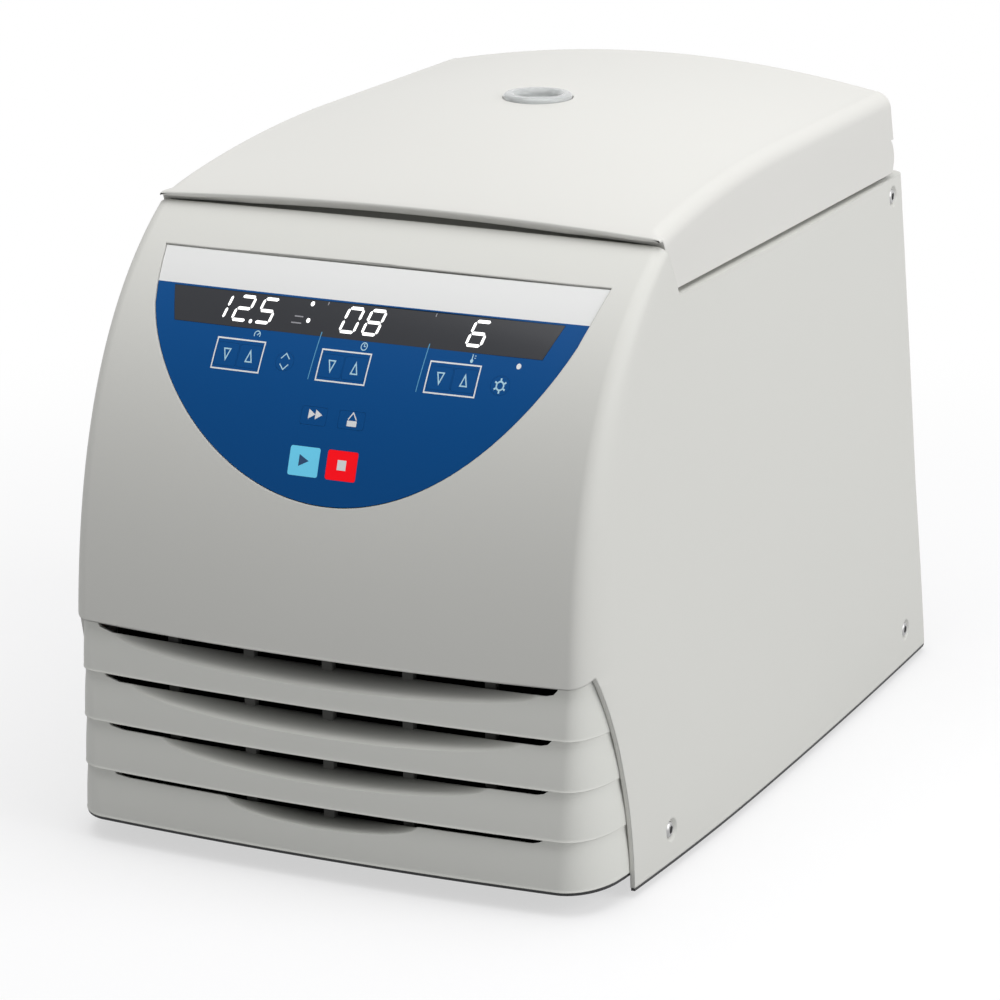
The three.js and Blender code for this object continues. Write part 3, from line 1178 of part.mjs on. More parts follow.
// The back of the lid leans out towards its lower edge.
function lidRearLean(y, z) {
  const share = THREE.MathUtils.clamp((y - lid.crownY) / (lid.rearTopY - lid.crownY), 0, 1);
  const fall = (lid.rearCrownZ - z) / (lid.rearCrownZ - lid.rearFootZ);
  return share ** 4 * (lid.rearFootY - lid.rearTopY) * fall;
}

const lidStationShares = [0.045, 0.14, 0.27, 0.42, 0.58, 0.78, 0.92, 1];

function makeLidShell() {
  const stations = [lid.frontY, lid.frontY + lid.lipDepth,
    ...lidStationShares.map((share) => mix(lid.frontY + lid.lipDepth, lid.rearTopY, share))];
  const outer = loft(stations.map((y) => lidRing(y, 0)).reverse());
  const inner = loft(stations.slice(1).map((y, i, all) => lidRing(
    i === all.length - 1 ? y - lid.wall : y + lid.wall / 2, lid.wall)).reverse());
  const scoopHalf = lidHalfWidth - lid.scoopInset;
  const scoopShape = new THREE.Shape();
  scoopShape.moveTo(-scoopHalf, lid.frontZ - overrun);
  scoopShape.lineTo(scoopHalf, lid.frontZ - overrun);
  scoopShape.lineTo(scoopHalf, lid.frontZ);
  scoopShape.quadraticCurveTo(0, lid.frontZ + 2 * lid.scoopHeight, -scoopHalf, lid.frontZ);
  const fingerScoop = alongY(scoopShape, lid.frontY - overrun, lid.frontY + lid.scoopDepth);
  const lensHole = rod(lens.radius + seat, [0, chamber.centreY, lid.sideFrontZ],
    [0, chamber.centreY, lid.crownZ + overrun], 24);
  return outer.subtract(inner).subtract(fingerScoop).subtract(lensHole).subtract(rearRelief());
}

// Room at the back of the lid for the hinge blocks, and below its back edge
function rearRelief() {
  const half = hinge.blockHalfDepth + hinge.clearance;
  const farX = housing.halfWidth;
  const below = block([-farX, farX], [hinge.y - half, housing.rearY], [housing.deckZ, hinge.z]);
  const behind = block([-farX, farX], [hinge.y, housing.rearY], [housing.deckZ, lid.rearFootZ]);
  const nearX = pinInnerX - 2 * hinge.earThickness;
  const barrels = [-1, 1].map((hand) => rod(half, [hand * nearX, hinge.y, hinge.z],
    [hand * farX, hinge.y, hinge.z], 24));
  return union([below, behind, ...barrels]);
}

// Inner moulding of the lid: a floor with a raised window tube, a ring for the gasket and the hinge ears
function makeLidLiner() {
  const z0 = liner.bottomZ;
  const half = (y) => lidHalfWidthAt(y) - lid.wall - 2 * seat;
  const right = [[half(liner.frontY), liner.frontY], [half(0), 0], [half(liner.rearY), liner.rearY]];
  const left = right.slice().reverse().map(([x, y]) => [-x, y]);
  const floor = alongZ([...right, ...left], z0, z0 + liner.thickness);
  const tubeTopZ = lid.crownZ + lens.proud - lens.height - seat;
  const tube = rod(liner.tubeRadius, [0, chamber.centreY, z0 + liner.thickness / 2],
    [0, chamber.centreY, tubeTopZ], 24);
  const bore = rod(liner.tubeRadius - liner.tubeWall, [0, chamber.centreY, z0 - overrun],
    [0, chamber.centreY, tubeTopZ + overrun], 24);
  const front = block([lid.scoopInset - lidHalfWidth, lidHalfWidth - lid.scoopInset],
    [latch.y - striker.plateDepth, liner.frontY + overrun], [z0, z0 + liner.thickness]);
  const ears = [-1, 1].flatMap((hand) => {
    const near = pinInnerX + seat;
    const x = [hand * near, hand * (near + hinge.earThickness)].sort((a, b) => a - b);
    return [alongX(earOutline(), ...x)];
  });
  const cradle = [-1, 1].map((hand) => rod(hinge.pinRadius + seat,
    [hand * (pinInnerX - overrun), hinge.y, hinge.z], [hand * (pinInnerX + 2 * hinge.earThickness), hinge.y, hinge.z], 16));
  return union([floor.add(tube), front, ...ears]).subtract(bore).subtract(union(cradle));
}

function earOutline() {
  const shape = new THREE.Shape();
  shape.moveTo(liner.rearY - 2 * hinge.earRadius, liner.bottomZ);
  shape.lineTo(hinge.y - hinge.earRadius / 2, liner.bottomZ + seat * 2);
  shape.absarc(hinge.y, hinge.z, hinge.earRadius, -Math.PI / 2, Math.PI / 2);
  shape.lineTo(liner.rearY - 2 * hinge.earRadius, hinge.z + hinge.earRadius / 2);
  return shape;
}

function makeGasket() {
  const z1 = liner.bottomZ - seat;
  const z0 = bowlTopZ + seat;
  const { gasketWidth, gasketTaper } = liner;
  const inner = chamber.radius + chamber.wall;
  const outer = inner + gasketWidth;
  return turned([[inner, z1], [inner + gasketTaper, z0 + gasketTaper], [(inner + outer) / 2, z0],
    [outer - gasketTaper, z0 + gasketTaper], [outer, z1], [inner, z1]], chamber.sides, 0, chamber.centreY);
}

// Raised clear ring with a thick pane across its bore
function makeLidWindow() {
  const z1 = lid.crownZ + lens.proud;
  const z0 = z1 - lens.height;
  const { radius, bore, lipWidth, pane } = lens;
  return turned([[0, z0], [radius - seat, z0], [radius - seat, z1 - lens.proud / 2],
    [radius - lipWidth / 2, z1], [bore + lipWidth / 2, z1], [bore, z1 - lens.proud],
    [bore, z0 + pane], [0, z0 + pane]], 24, 0, chamber.centreY);
}

// Hinge blocks, pins and the torsion springs that balance the lid

function makeHingeBlock(hand) {
  const x = [hand * hingeInnerX, hand * hingeOuterX].sort((a, b) => a - b);
  return alongX(hingeBlockOutline(0), ...x).subtract(rod(hinge.pinRadius + seat,
    [x[0] - overrun, hinge.y, hinge.z], [x[1] + overrun, hinge.y, hinge.z], 16));
}

function makeHingePin(hand) {
  return rod(hinge.pinRadius, [hand * pinInnerX, hinge.y, hinge.z],
    [hand * (hingeOuterX - seat), hinge.y, hinge.z], 16);
}

function makeLidSpring(hand) {
  const start = pinInnerX + hinge.earThickness + 4 * seat + hinge.springWire;
  const end = hingeInnerX - seat - hinge.springWire;
  const radius = hinge.pinRadius + seat + hinge.springWire / 2;
  class Coil extends THREE.Curve {
    getPoint(share, target = new THREE.Vector3()) {
      const angle = share * hinge.springTurns * 2 * Math.PI;
      return target.set(hand * mix(start, end, share), hinge.y + radius * Math.cos(angle),
        hinge.z + radius * Math.sin(angle));
    }
  }
  const section = new THREE.Shape().absarc(0, 0, hinge.springWire / 2, 0, 2 * Math.PI);
  return solidOf(new THREE.ExtrudeGeometry(section, {
    extrudePath: new Coil(), steps: hinge.springTurns * hinge.springSteps, curveSegments: 2,
    bevelEnabled: false }));
}

// Assembly

addPiece('housing_cover', makeHousingCover(), shades.body, 'plastic');
addPiece('front_grille', makeFrontGrille(), shades.grille, 'plastic');
addPiece('rear_panel', makeRearPanel(), shades.body, 'plastic');
addPiece('base_tray', makeBaseTray(), shades.zinc, 'metal');
[['front_left', -1, foot.frontY], ['front_right', 1, foot.frontY], ['rear_left', -1, foot.rearY],
  ['rear_right', 1, foot.rearY]].forEach(([name, hand, y]) => {
  addPiece(`foot_${name}`, makeFoot(hand * (housing.halfWidth - foot.sideInset), y), shades.rubber, 'rubber');
});
addPiece('power_inlet', makePowerInlet(), shades.black, 'plastic');
addPiece('switch_frame', makeSwitchFrame(), shades.black, 'plastic');
addPiece('power_switch', makeRocker(), shades.black, 'gloss');
addPiece('chamber_bowl', makeBowl(), shades.steel, 'metal');
addPiece('evaporator_coil', makeEvaporator(), shades.copper, 'metal');
addPiece('bowl_insulation', makeInsulation(), shades.foam, 'rubber');
addPiece('rotor', makeRotor(), shades.anodised, 'metal');
addPiece('rotor_lid', makeRotorLid(), shades.anodised, 'metal');
addPiece('rotor_knob', makeRotorKnob(), shades.black, 'plastic');
addPiece('motor_shaft', makeMotorShaft(), shades.steel, 'metal');
addPiece('motor_housing', makeMotorHousing(), shades.zinc, 'metal');
['front', 'right', 'left'].forEach((name, i) => {
  addPiece(`motor_damper_${name}`, makeDamper(damperAngles[i]), shades.rubber, 'rubber');
});
addPiece('motor_plate', makeMotorPlate(), shades.zinc, 'metal');
addPiece('condenser', makeCondenser(), shades.zinc, 'metal');
addPiece('fan_shroud', makeFanShroud(), shades.black, 'plastic');
addPiece('fan_impeller', makeFanImpeller(), shades.black, 'plastic');
addPiece('compressor', makeCompressor(), shades.black, 'gloss');
addPiece('filter_drier', makeFilterDrier(), shades.copper, 'metal');
addPiece('refrigerant_line', makeRefrigerantLine(), shades.copper, 'metal');
addPiece('power_board', makePowerBoard(), shades.board, 'plastic');
addPiece('keypad_overlay', makeKeypadOverlay(), shades.blue, 'plastic');
addPiece('display_window', makeDisplayWindow(), shades.black, 'gloss');
keys.forEach((key) => addPiece(key.name, makeKey(key), key.color, 'plastic'));
addPiece('control_board', makeControlBoard(), shades.board, 'plastic');
addPiece('latch_housing', makeLatchHousing(), shades.zinc, 'metal');
addPiece('latch_hook', makeLatchHook(), shades.steel, 'metal');
addPiece('latch_solenoid', makeSolenoid(), shades.black, 'plastic');
addPiece('latch_plunger', makePlunger(), shades.steel, 'metal');
addPiece('lid_striker', makeStriker(), shades.steel, 'metal');
addPiece('lid_shell', makeLidShell(), shades.lid, 'plastic');
addPiece('lid_liner', makeLidLiner(), shades.liner, 'plastic');
addPiece('lid_gasket', makeGasket(), shades.rubber, 'rubber');
addPiece('lid_window', makeLidWindow(), shades.clear, 'gloss');
[['left', -1], ['right', 1]].forEach(([name, hand]) => {
  addPiece(`hinge_block_${name}`, makeHingeBlock(hand), shades.body, 'plastic');
  addPiece(`hinge_pin_${name}`, makeHingePin(hand), shades.steel, 'metal');
  addPiece(`lid_spring_${name}`, makeLidSpring(hand), shades.steel, 'metal');
});

export default instrument;
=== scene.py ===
"""Refrigerated bench microcentrifuge: the finished look of its housing, lid, keypad, louvres and fittings.

Places below are in millimetres, with heights measured from the lower edge of the housing, as on the
drawing of the part. on_bench() turns them into metres above the bench. Only the camera, the floor and
the lamps are placed in metres.
"""
import json
import math
from types import SimpleNamespace as Form

import bmesh
import bpy
import numpy as np
from mathutils import Matrix, Vector

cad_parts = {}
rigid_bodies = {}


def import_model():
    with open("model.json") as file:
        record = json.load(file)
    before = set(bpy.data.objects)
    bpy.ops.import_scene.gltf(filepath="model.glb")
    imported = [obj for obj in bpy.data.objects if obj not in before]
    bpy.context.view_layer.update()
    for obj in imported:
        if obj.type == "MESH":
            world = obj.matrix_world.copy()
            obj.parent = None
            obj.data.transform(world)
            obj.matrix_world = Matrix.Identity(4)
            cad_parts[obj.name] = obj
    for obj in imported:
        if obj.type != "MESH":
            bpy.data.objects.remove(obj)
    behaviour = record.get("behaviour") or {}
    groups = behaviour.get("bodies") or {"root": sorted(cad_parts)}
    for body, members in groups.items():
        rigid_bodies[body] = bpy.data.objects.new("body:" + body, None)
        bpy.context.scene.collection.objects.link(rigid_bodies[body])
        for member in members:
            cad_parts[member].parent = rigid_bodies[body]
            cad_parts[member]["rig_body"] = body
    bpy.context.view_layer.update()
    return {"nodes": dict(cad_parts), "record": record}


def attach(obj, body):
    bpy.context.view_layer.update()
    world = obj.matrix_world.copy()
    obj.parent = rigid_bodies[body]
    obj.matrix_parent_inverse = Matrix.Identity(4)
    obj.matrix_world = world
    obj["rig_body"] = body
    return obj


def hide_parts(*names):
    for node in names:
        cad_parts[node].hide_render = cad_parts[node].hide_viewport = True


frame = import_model()
nodes = frame["nodes"]

MM = 0.001                  # lengths here are in millimetres, Blender's in metres
MICRON = 0.000001           # bumps are so many microns deep
FEET = 5.0                  # the feet hold the housing this far above the bench
SEAT = 0.3                  # room between two pieces that would otherwise share a surface
OVERRUN = 2.0               # how far a cutter reaches past what it cuts
LEAST_ROUND = 2.0           # the least radius of a corner, and the least height of a side
WELD = 0.02                 # points of a skin nearer than this become one
ASIDE = 150                 # further out than the housing's sides
BEHIND = 240                # further back than its rear
QUARTER = math.pi / 2
WHITE = (1, 1, 1, 1)

CAMERA = Form(lens=147.6, sensor=36.0, near=0.05, far=20.0, target=(-0.01280, 0.0, 0.12379),
              azimuth=24.7847, elevation=15.8966, distance=2.0725)
HOUSING = Form(front_y=-228.3, rear_y=225, half_width=145.6, widest_y=-40, front_narrowing=7.2,
               rear_narrowing=4.6, top_share=0.9217, taper_bend=1.2, deck_z=264.7, wall=2.2,
               rear_top_y=194, rear_kink_y=210.5, rear_kink_z=95, rear_corner=9,
               low_levels=(-4, 14, 32, 50, 68, 86, 95))
MOUTH = Form(radius=100, low_z=258, high_z=270)
LATCH_SLOT = Form(half=9, front_y=-107, rear_y=-95, low_z=256, high_z=270)
BACK = Form(top_y=190.3, kink_y=204.5, half=120, frame=9, low_z=-2, high_z=252,
            room_y=150, open_from=180, open_to=232)
FACE = Form(lip_y=-229, handle_y=-225.5, lip_z=104, low_handle=95, ridge_y=-133, ridge_z=289.7,
            ridge_foot_y=-120.2, top_handle=67.3, top_slope=math.pi / 6, bow_reach=120, bow_at_lip=4.6,
            bow_at_ridge=1.5, across_lip=14, along_lip=33, across_foot_more=9, across_ridge=6.5,
            along_ridge=9, bead=0.5, bead_height=0.9, rows=56)
SIDE_EDGE = Form(top_y=-214, top_z=108.8, foot_y=-186, handle_y=-187, handle_z=56,
                 rise=((-219, 106.4), (-224, 104.8), (-229, 104.0)))
PANEL = Form(top_z=272.8, top_half=113.9, band_z=258.6, half=110.2, vertex_z=174, roundness=1.33,
             recess=2.2, bed=0.6, thickness=1.0, rim=0.4, ledge=7, opening_top_z=262, proud=4.0,
             window_depth=5.0)
DISPLAY = Form(left=-101, right=99, taper=6, top_z=258.2, bottom_z=244.4, thickness=2.4)
CHAMBER_Y = 17
LID = Form(seam=2.3, half_width=131, rear_half_width=130.5, lean=0.075, wall=3, front_y=-135, front_z=291.2,
           lip_depth=3, skirt_front_y=-119.2, rear_top_y=177, rear_foot_y=181, rear_foot_z=284,
           crown_front_z=296.5, side_front_z=292.8, shoulder=8, crown_z=323.5, crown_y=30, rear_crown_z=321,
           scoop_half=124, scoop_base=-0.4, scoop_rise=4.4, undercut=2.8, side_rear_z=309, edge_radius=0.5,
           rear_radius=2, slots=32, skirt_inner=127.8, flap_radius=11)
HINGE = Form(y=168, z=276, block_half=7, clearance=2.5, ear_x=69)
RECESS = Form(behind=7, lean=4, wall=1.8, half=125.5, below_top=1.6, below_foot=1.5)
LENS = Form(radius=17.5, bore=11, height=12, proud=1.8, pane=3, gap=0.15, bevel=1.6, outer_bevel=0.9, dish=1.8,
            taper=0.6)
LOUVRE = Form(lips=(104, 80, 55.7, 31.7), foot_z=7.4, slots=(3.9, 3.8, 3.1, 2.7), opening=4.4,
              slot_halves=(118.1, 115.4, 113.7, 111.4), slot_end=8, scoop_halves=(107, 99, 84, 50),
              scoop_heights=(10.5, 10.5, 10, 8), scoop_depth=12, fall=0.3, set_back=2.4, swell=1.6, shell=2.6,
              rib=5.6, rib_pitch=40.9, ribs=5, rib_inset=11.5, rib_depth=4, rib_edge=0.4, rib_drop=2.5,
              return_y=-160, undercut=0.4, side_gap=0.25, side_swell=0.8, return_wall=2.2, bead=0.45,
              # The last four settings set the painted shade that darkens the blades behind their front.
              bead_height=0.9, stain_half=117, stain_from=2, stain_over=12, stain=(0.012, 0.012, 0.011, 1))
# The near-black sheet behind the blades, put there as painted shade.
SHADE_SHEET = Form(behind=25, thickness=3, half=121, low_z=10, high_z=100)
# A thin black strip under the housing, painted as its shadow line.
SHADOW_STRIP = Form(height=1.6, inset=0.3, foot=0.4)


def on_bench(places):
    """Millimetres above the housing's lower edge to metres above the bench."""
    lifted = np.array(places, float) + (0.0, 0.0, FEET)
    return lifted * MM


def add_camera():
    camera_data = bpy.data.cameras.new("camera")
    camera_data.lens, camera_data.sensor_width = CAMERA.lens, CAMERA.sensor
    camera_data.clip_start, camera_data.clip_end = CAMERA.near, CAMERA.far
    camera = bpy.data.objects.new("camera", camera_data)
    bpy.context.scene.collection.objects.link(camera)
    azimuth, elevation = math.radians(CAMERA.azimuth), math.radians(CAMERA.elevation)
    towards = Vector((math.sin(azimuth) * math.cos(elevation), -math.cos(azimuth) * math.cos(elevation),
                      math.sin(elevation)))
    camera.location = Vector(CAMERA.target) + CAMERA.distance * towards
    camera.rotation_euler = towards.to_track_quat("Z", "Y").to_euler()
    bpy.context.scene.camera = camera


add_camera()


# Modelling helpers

def only(piece):
    if bpy.context.mode != "OBJECT":
        bpy.ops.object.mode_set(mode="OBJECT")
    bpy.ops.object.select_all(action="DESELECT")
    piece.select_set(True)
    bpy.context.view_layer.objects.active = piece


def apply_modifier(piece, kind, **settings):
    only(piece)
    modifier = piece.modifiers.new(kind.title(), kind)
    for key, value in settings.items():
        setattr(modifier, key, value)
    bpy.ops.object.modifier_apply(modifier=modifier.name)


def cut(piece, *cutters, operation="DIFFERENCE"):
    for cutter in cutters:
        apply_modifier(piece, "BOOLEAN", operation=operation, object=cutter, solver="EXACT")
        bpy.data.objects.remove(cutter)


def in_edit_mode(piece, *steps):
    """Takes each step in edit mode with the whole mesh selected."""
    only(piece)
    bpy.ops.object.mode_set(mode="EDIT")
    for step in steps:
        bpy.ops.mesh.select_all(action="SELECT")
        step()
    bpy.ops.object.mode_set(mode="OBJECT")


def turn_outwards():
    bpy.ops.mesh.normals_make_consistent(inside=False)


def merge(piece, *others):
    only(piece)
    for other in others:
        other.select_set(True)
    if others:
        bpy.ops.object.join()
    return piece


def rows_of_points(name, places):
    """A grid whose points are moved to places[row][column]."""
    rows, columns = places.shape[:2]
    bpy.ops.mesh.primitive_grid_add(x_subdivisions=columns - 1, y_subdivisions=rows - 1, size=1.0)
    piece = bpy.context.object
    piece.name = piece.data.name = name
    flat = np.empty(len(piece.data.vertices) * 3, np.float32)
    piece.data.vertices.foreach_get("co", flat)
    flat = flat.reshape(-1, 3)
    column = np.rint((flat[:, 0] + 0.5) * (columns - 1)).astype(int)
    row = np.rint((flat[:, 1] + 0.5) * (rows - 1)).astype(int)
    piece.data.vertices.foreach_set("co", on_bench(places[row, column]).astype(np.float32).ravel())
    piece.data.update()
    only(piece)
    return piece


def close_skin(piece):
    """Joins the skin's seam and poles, fills its open ends and turns its faces outwards."""
    def join_points():
        bpy.ops.mesh.remove_doubles(threshold=WELD * MM)

    def fill_ends():
        bpy.ops.mesh.select_all(action="DESELECT")
        bpy.ops.mesh.select_non_manifold()
        bpy.ops.mesh.fill_holes(sides=0)

    in_edit_mode(piece, join_points, fill_ends, turn_outwards)
    return piece


def rings_to_skin(name, rings):
    """A closed skin through level rings, each a list of as many points."""
    places = np.array([list(ring) + [ring[0]] for ring in rings], float)
    return close_skin(rows_of_points(name, places))


def block(x, y, z):
    bpy.ops.mesh.primitive_cube_add(size=1.0)
    piece = bpy.context.object
    low, high = on_bench((x[0], y[0], z[0])), on_bench((x[1], y[1], z[1]))
    piece.data.transform(Matrix.Translation(Vector((low + high) / 2)) @ Matrix.Diagonal((*(high - low), 1.0)))
    return piece


def rod(radius, start, end, sides=48, end_radius=None):
    start, end = Vector(on_bench(start)), Vector(on_bench(end))
    along = end - start
    bpy.ops.mesh.primitive_cone_add(vertices=sides, radius1=radius * MM,
                                    radius2=(radius if end_radius is None else end_radius) * MM,
                                    depth=along.length)
    piece = bpy.context.object
    piece.data.transform(Matrix.Translation((start + end) / 2) @ along.to_track_quat("Z", "Y").to_matrix().to_4x4())
    return piece


def prism(outline, x0, x1, name="prism"):
    """An outline of (y, z) run along X."""
    return rings_to_skin(name, [[(x, y, z) for y, z in outline] for x in (x0, x1)])


def turned(name, profile, steps=96, x=0.0, y=0.0):
    """A profile of (radius, height) points turned about a vertical axis."""
    angles = np.linspace(0, 2 * math.pi, steps + 1)
    places = np.array([[(x + r * math.cos(a), y + r * math.sin(a), z) for a in angles] for r, z in profile])
    return close_skin(rows_of_points(name, places))


def rounded(points, radius, steps=4):
    """An open profile with its inner corners rounded."""
    out = [points[0]]
    for before, corner, after in zip(points, points[1:], points[2:]):
        a, b, c = (np.array(p, float) for p in (before, corner, after))
        reach = min(radius, np.linalg.norm(a - b) * 0.49, np.linalg.norm(c - b) * 0.49)
        start = b + (a - b) / np.linalg.norm(a - b) * reach
        stop = b + (c - b) / np.linalg.norm(c - b) * reach
        for i in range(steps + 1):
            t = i / steps
            out.append(tuple((1 - t) ** 2 * start + 2 * t * (1 - t) * b + t * t * stop))
    out.append(points[-1])
    return out


def finish_piece(piece, name, body, material, slot, *replaced, angle=35.0):
    piece.name = piece.data.name = name
    only(piece)
    bpy.ops.object.shade_smooth_by_angle(angle=math.radians(angle))
    piece.data.materials.clear()
    piece.data.materials.append(material)
    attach(piece, body)
    if replaced:
        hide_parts(*replaced)
    return piece


# Surfaces of the housing

def mix(a, b, share):
    return a + (b - a) * share


def face_curve(t):
    p = [(FACE.lip_y, FACE.lip_z), (FACE.handle_y, FACE.lip_z + FACE.low_handle),
         (FACE.ridge_y - FACE.top_handle * math.cos(FACE.top_slope),
          FACE.ridge_z - FACE.top_handle * math.sin(FACE.top_slope)),
         (FACE.ridge_y, FACE.ridge_z)]
    weights = ((1 - t) ** 3, 3 * t * (1 - t) ** 2, 3 * t * t * (1 - t), t ** 3)
    return tuple(sum(w * q[i] for w, q in zip(weights, p)) for i in (0, 1))


CURVE_TABLE = np.array([face_curve(t) for t in np.linspace(0, 1, 4001)])


def face_y_at(z):
    return np.interp(z, CURVE_TABLE[:, 1], CURVE_TABLE[:, 0])


def face_share_at(z):
    return np.clip((z - FACE.lip_z) / (FACE.ridge_z - FACE.lip_z), 0, 1)


def bow_at(x, z):
    return mix(FACE.bow_at_lip, FACE.bow_at_ridge, face_share_at(z)) * (x / FACE.bow_reach) ** 2


def side_x_at(y, z):
    ahead = y < HOUSING.widest_y
    reach = (HOUSING.front_y if ahead else HOUSING.rear_y) - HOUSING.widest_y
    narrowing = HOUSING.front_narrowing if ahead else HOUSING.rear_narrowing
    at_foot = HOUSING.half_width - narrowing * ((y - HOUSING.widest_y) / reach) ** 2
    height = max(z / HOUSING.deck_z, 0.0)
    return at_foot * mix(1, HOUSING.top_share, height ** HOUSING.taper_bend)


def rear_y_at(z):
    if z < HOUSING.rear_kink_z:
        return mix(HOUSING.rear_y, HOUSING.rear_kink_y, z / HOUSING.rear_kink_z)
    return mix(HOUSING.rear_kink_y, HOUSING.rear_top_y,
               (z - HOUSING.rear_kink_z) / (HOUSING.deck_z - HOUSING.rear_kink_z))


def level_ring(z, front_y, side=0.0, rear=0.0, narrower=0.0, steps=(24, 18, 36, 6)):
    """One level of the housing: bowed front, elliptical front corners, bowed sides and a straight back."""
    share = face_share_at(z)
    low = np.clip(1 - z / FACE.lip_z, 0, 1)
    across = mix(FACE.across_lip, FACE.across_ridge, share) + FACE.across_foot_more * low - narrower
    along = mix(FACE.along_lip, FACE.along_ridge, share) - narrower
    front_steps, corner_steps, side_steps, rear_steps = steps
    corner_x = side_x_at(front_y + along, z) - side - across
    corner_y = front_y + bow_at(corner_x, z) + along
    half = []
    for i in range(front_steps):
        x = corner_x * i / front_steps
        half.append((x, front_y + bow_at(x, z)))
    for i in range(corner_steps):
        angle = (i / corner_steps - 1) * QUARTER
        half.append((corner_x + across * math.cos(angle), corner_y + along * math.sin(angle)))
    back_y = rear_y_at(z) - rear
    back_corner = max(HOUSING.rear_corner - rear, LEAST_ROUND)
    for i in range(side_steps + 1):
        y = mix(corner_y, back_y - back_corner, i / side_steps)
        half.append((side_x_at(y, z) - side, y))
    back_x = side_x_at(back_y - back_corner, z) - side - back_corner
    for i in range(1, rear_steps + 1):
        angle = i / rear_steps * QUARTER
        half.append((back_x + back_corner * math.cos(angle), back_y - back_corner + back_corner * math.sin(angle)))
    mirrored = [(-x, y) for x, y in half[1:]][::-1]
    return [(x, y, z) for x, y in half + [(0.0, back_y)] + mirrored]


def face_points(x, z, lift):
    """Points on the face at (x, z), raised by lift along the outward normal."""
    x, z = np.broadcast_arrays(np.asarray(x, float), np.asarray(z, float))
    step = 0.5
    y = face_y_at(z) + bow_at(x, z)
    slope_x = (bow_at(x + step, z) - bow_at(x - step, z)) / (2 * step)
    slope_z = (face_y_at(z + step) + bow_at(x, z + step) - face_y_at(z - step) - bow_at(x, z - step)) / (2 * step)
    normal = np.stack([slope_x, -np.ones_like(x), slope_z], -1)
    normal /= np.linalg.norm(normal, axis=-1, keepdims=True)
    return np.stack([x, y, z], -1) + normal * np.asarray(lift, float)[..., None], normal


def face_sheet(name, rows, outer_lift, thickness, columns):
    """A curved plate that follows the face, on rows of (z, left x, right x), as thick as asked behind its front."""
    x = np.array([np.linspace(left, right, columns + 1) for z, left, right in rows])
    z = np.array([[row[0]] * (columns + 1) for row in rows])
    front, normals = face_points(x, z, np.full(x.shape, outer_lift))
    back = front - normals * thickness
    return close_skin(rows_of_points(name, np.concatenate([front, back[:, ::-1], front[:, :1]], 1)))


def panel_half_at(z):
    if z > PANEL.band_z:
        return mix(PANEL.half, PANEL.top_half, (z - PANEL.band_z) / (PANEL.top_z - PANEL.band_z))
    share = min((PANEL.band_z - z) / (PANEL.band_z - PANEL.vertex_z), 1)
    return PANEL.half * math.sqrt(max(1 - share ** PANEL.roundness, 0.0))


def panel_rows(inset, top_z, count=44):
    """Rows of the panel outline moved in by inset, closer together towards its round tip."""
    rows = []
    for w in np.linspace(0.02, 1, count):
        share = (1 - w * w) ** (1 / PANEL.roundness)
        z = mix(PANEL.band_z, PANEL.vertex_z, share)
        slope = (panel_half_at(z + 0.2) - panel_half_at(z - 0.2)) / 0.4 if z < PANEL.band_z - 0.3 else 0.0
        lean = math.hypot(1, slope)
        half = PANEL.half * w - inset / lean
        rows.append((z + inset * slope / lean, half))
    rows = [row for row in rows if row[1] > 0.5]
    rows += [(mix(PANEL.band_z, top_z, s), panel_half_at(mix(PANEL.band_z, top_z, s)) - inset)
             for s in (0.34, 0.67, 1.0)]
    return [(z, -half, half) for z, half in rows]


# Shader groups and materials

def set_inputs(tree, node, inputs):
    """Sets a node's inputs to plain values, or links the outputs given to them."""
    for socket, value in inputs.items():
        if hasattr(value, "is_linked"):
            tree.links.new(value, node.inputs[socket])
        else:
            node.inputs[socket].default_value = value


def add_node(tree, kind, inputs=None, **settings):
    node = tree.nodes.new("ShaderNode" + kind)
    for key, value in settings.items():
        setattr(node, key, value)
    set_inputs(tree, node, inputs or {})
    return node


def math_node(tree, operation, *values):
    return add_node(tree, "Math", dict(enumerate(values)), operation=operation).outputs[0]


def blend_colours(tree, share, a, b):
    return add_node(tree, "Mix", {0: share, 6: a, 7: b}, data_type="RGBA").outputs[2]


def place_on_piece(tree):
    return add_node(tree, "TexCoord").outputs["Object"]


def axes(tree, vector):
    """The X, Y and Z outputs of a vector."""
    return add_node(tree, "SeparateXYZ", {0: vector}).outputs


def noise(tree, scale, detail=2.0, place=None):
    place = place_on_piece(tree) if place is None else place
    return add_node(tree, "TexNoise", {"Vector": place, "Scale": scale, "Detail": detail}).outputs[0]


def brightened(tree, colour, change):
    """The colour scaled by 1 plus the change."""
    return add_node(tree, "VectorMath", {0: colour, "Scale": math_node(tree, "ADD", change, 1.0)},
                    operation="SCALE").outputs[0]


def surface_group(name, inputs):
    """A node group with the inputs given, and with Colour, Roughness and Height coming out."""
    group = bpy.data.node_groups.new(name, "ShaderNodeTree")
    kinds = {1: "NodeSocketFloat", 3: "NodeSocketVector", 4: "NodeSocketColor"}
    for label, value in inputs.items():
        socket = group.interface.new_socket(label, in_out="INPUT", socket_type=kinds[np.size(value)])
        socket.default_value = value
    for label, kind in (("Colour", kinds[4]), ("Roughness", kinds[1]), ("Height", kinds[1])):
        group.interface.new_socket(label, in_out="OUTPUT", socket_type=kind)
    return group, group.nodes.new("NodeGroupInput").outputs, group.nodes.new("NodeGroupOutput")


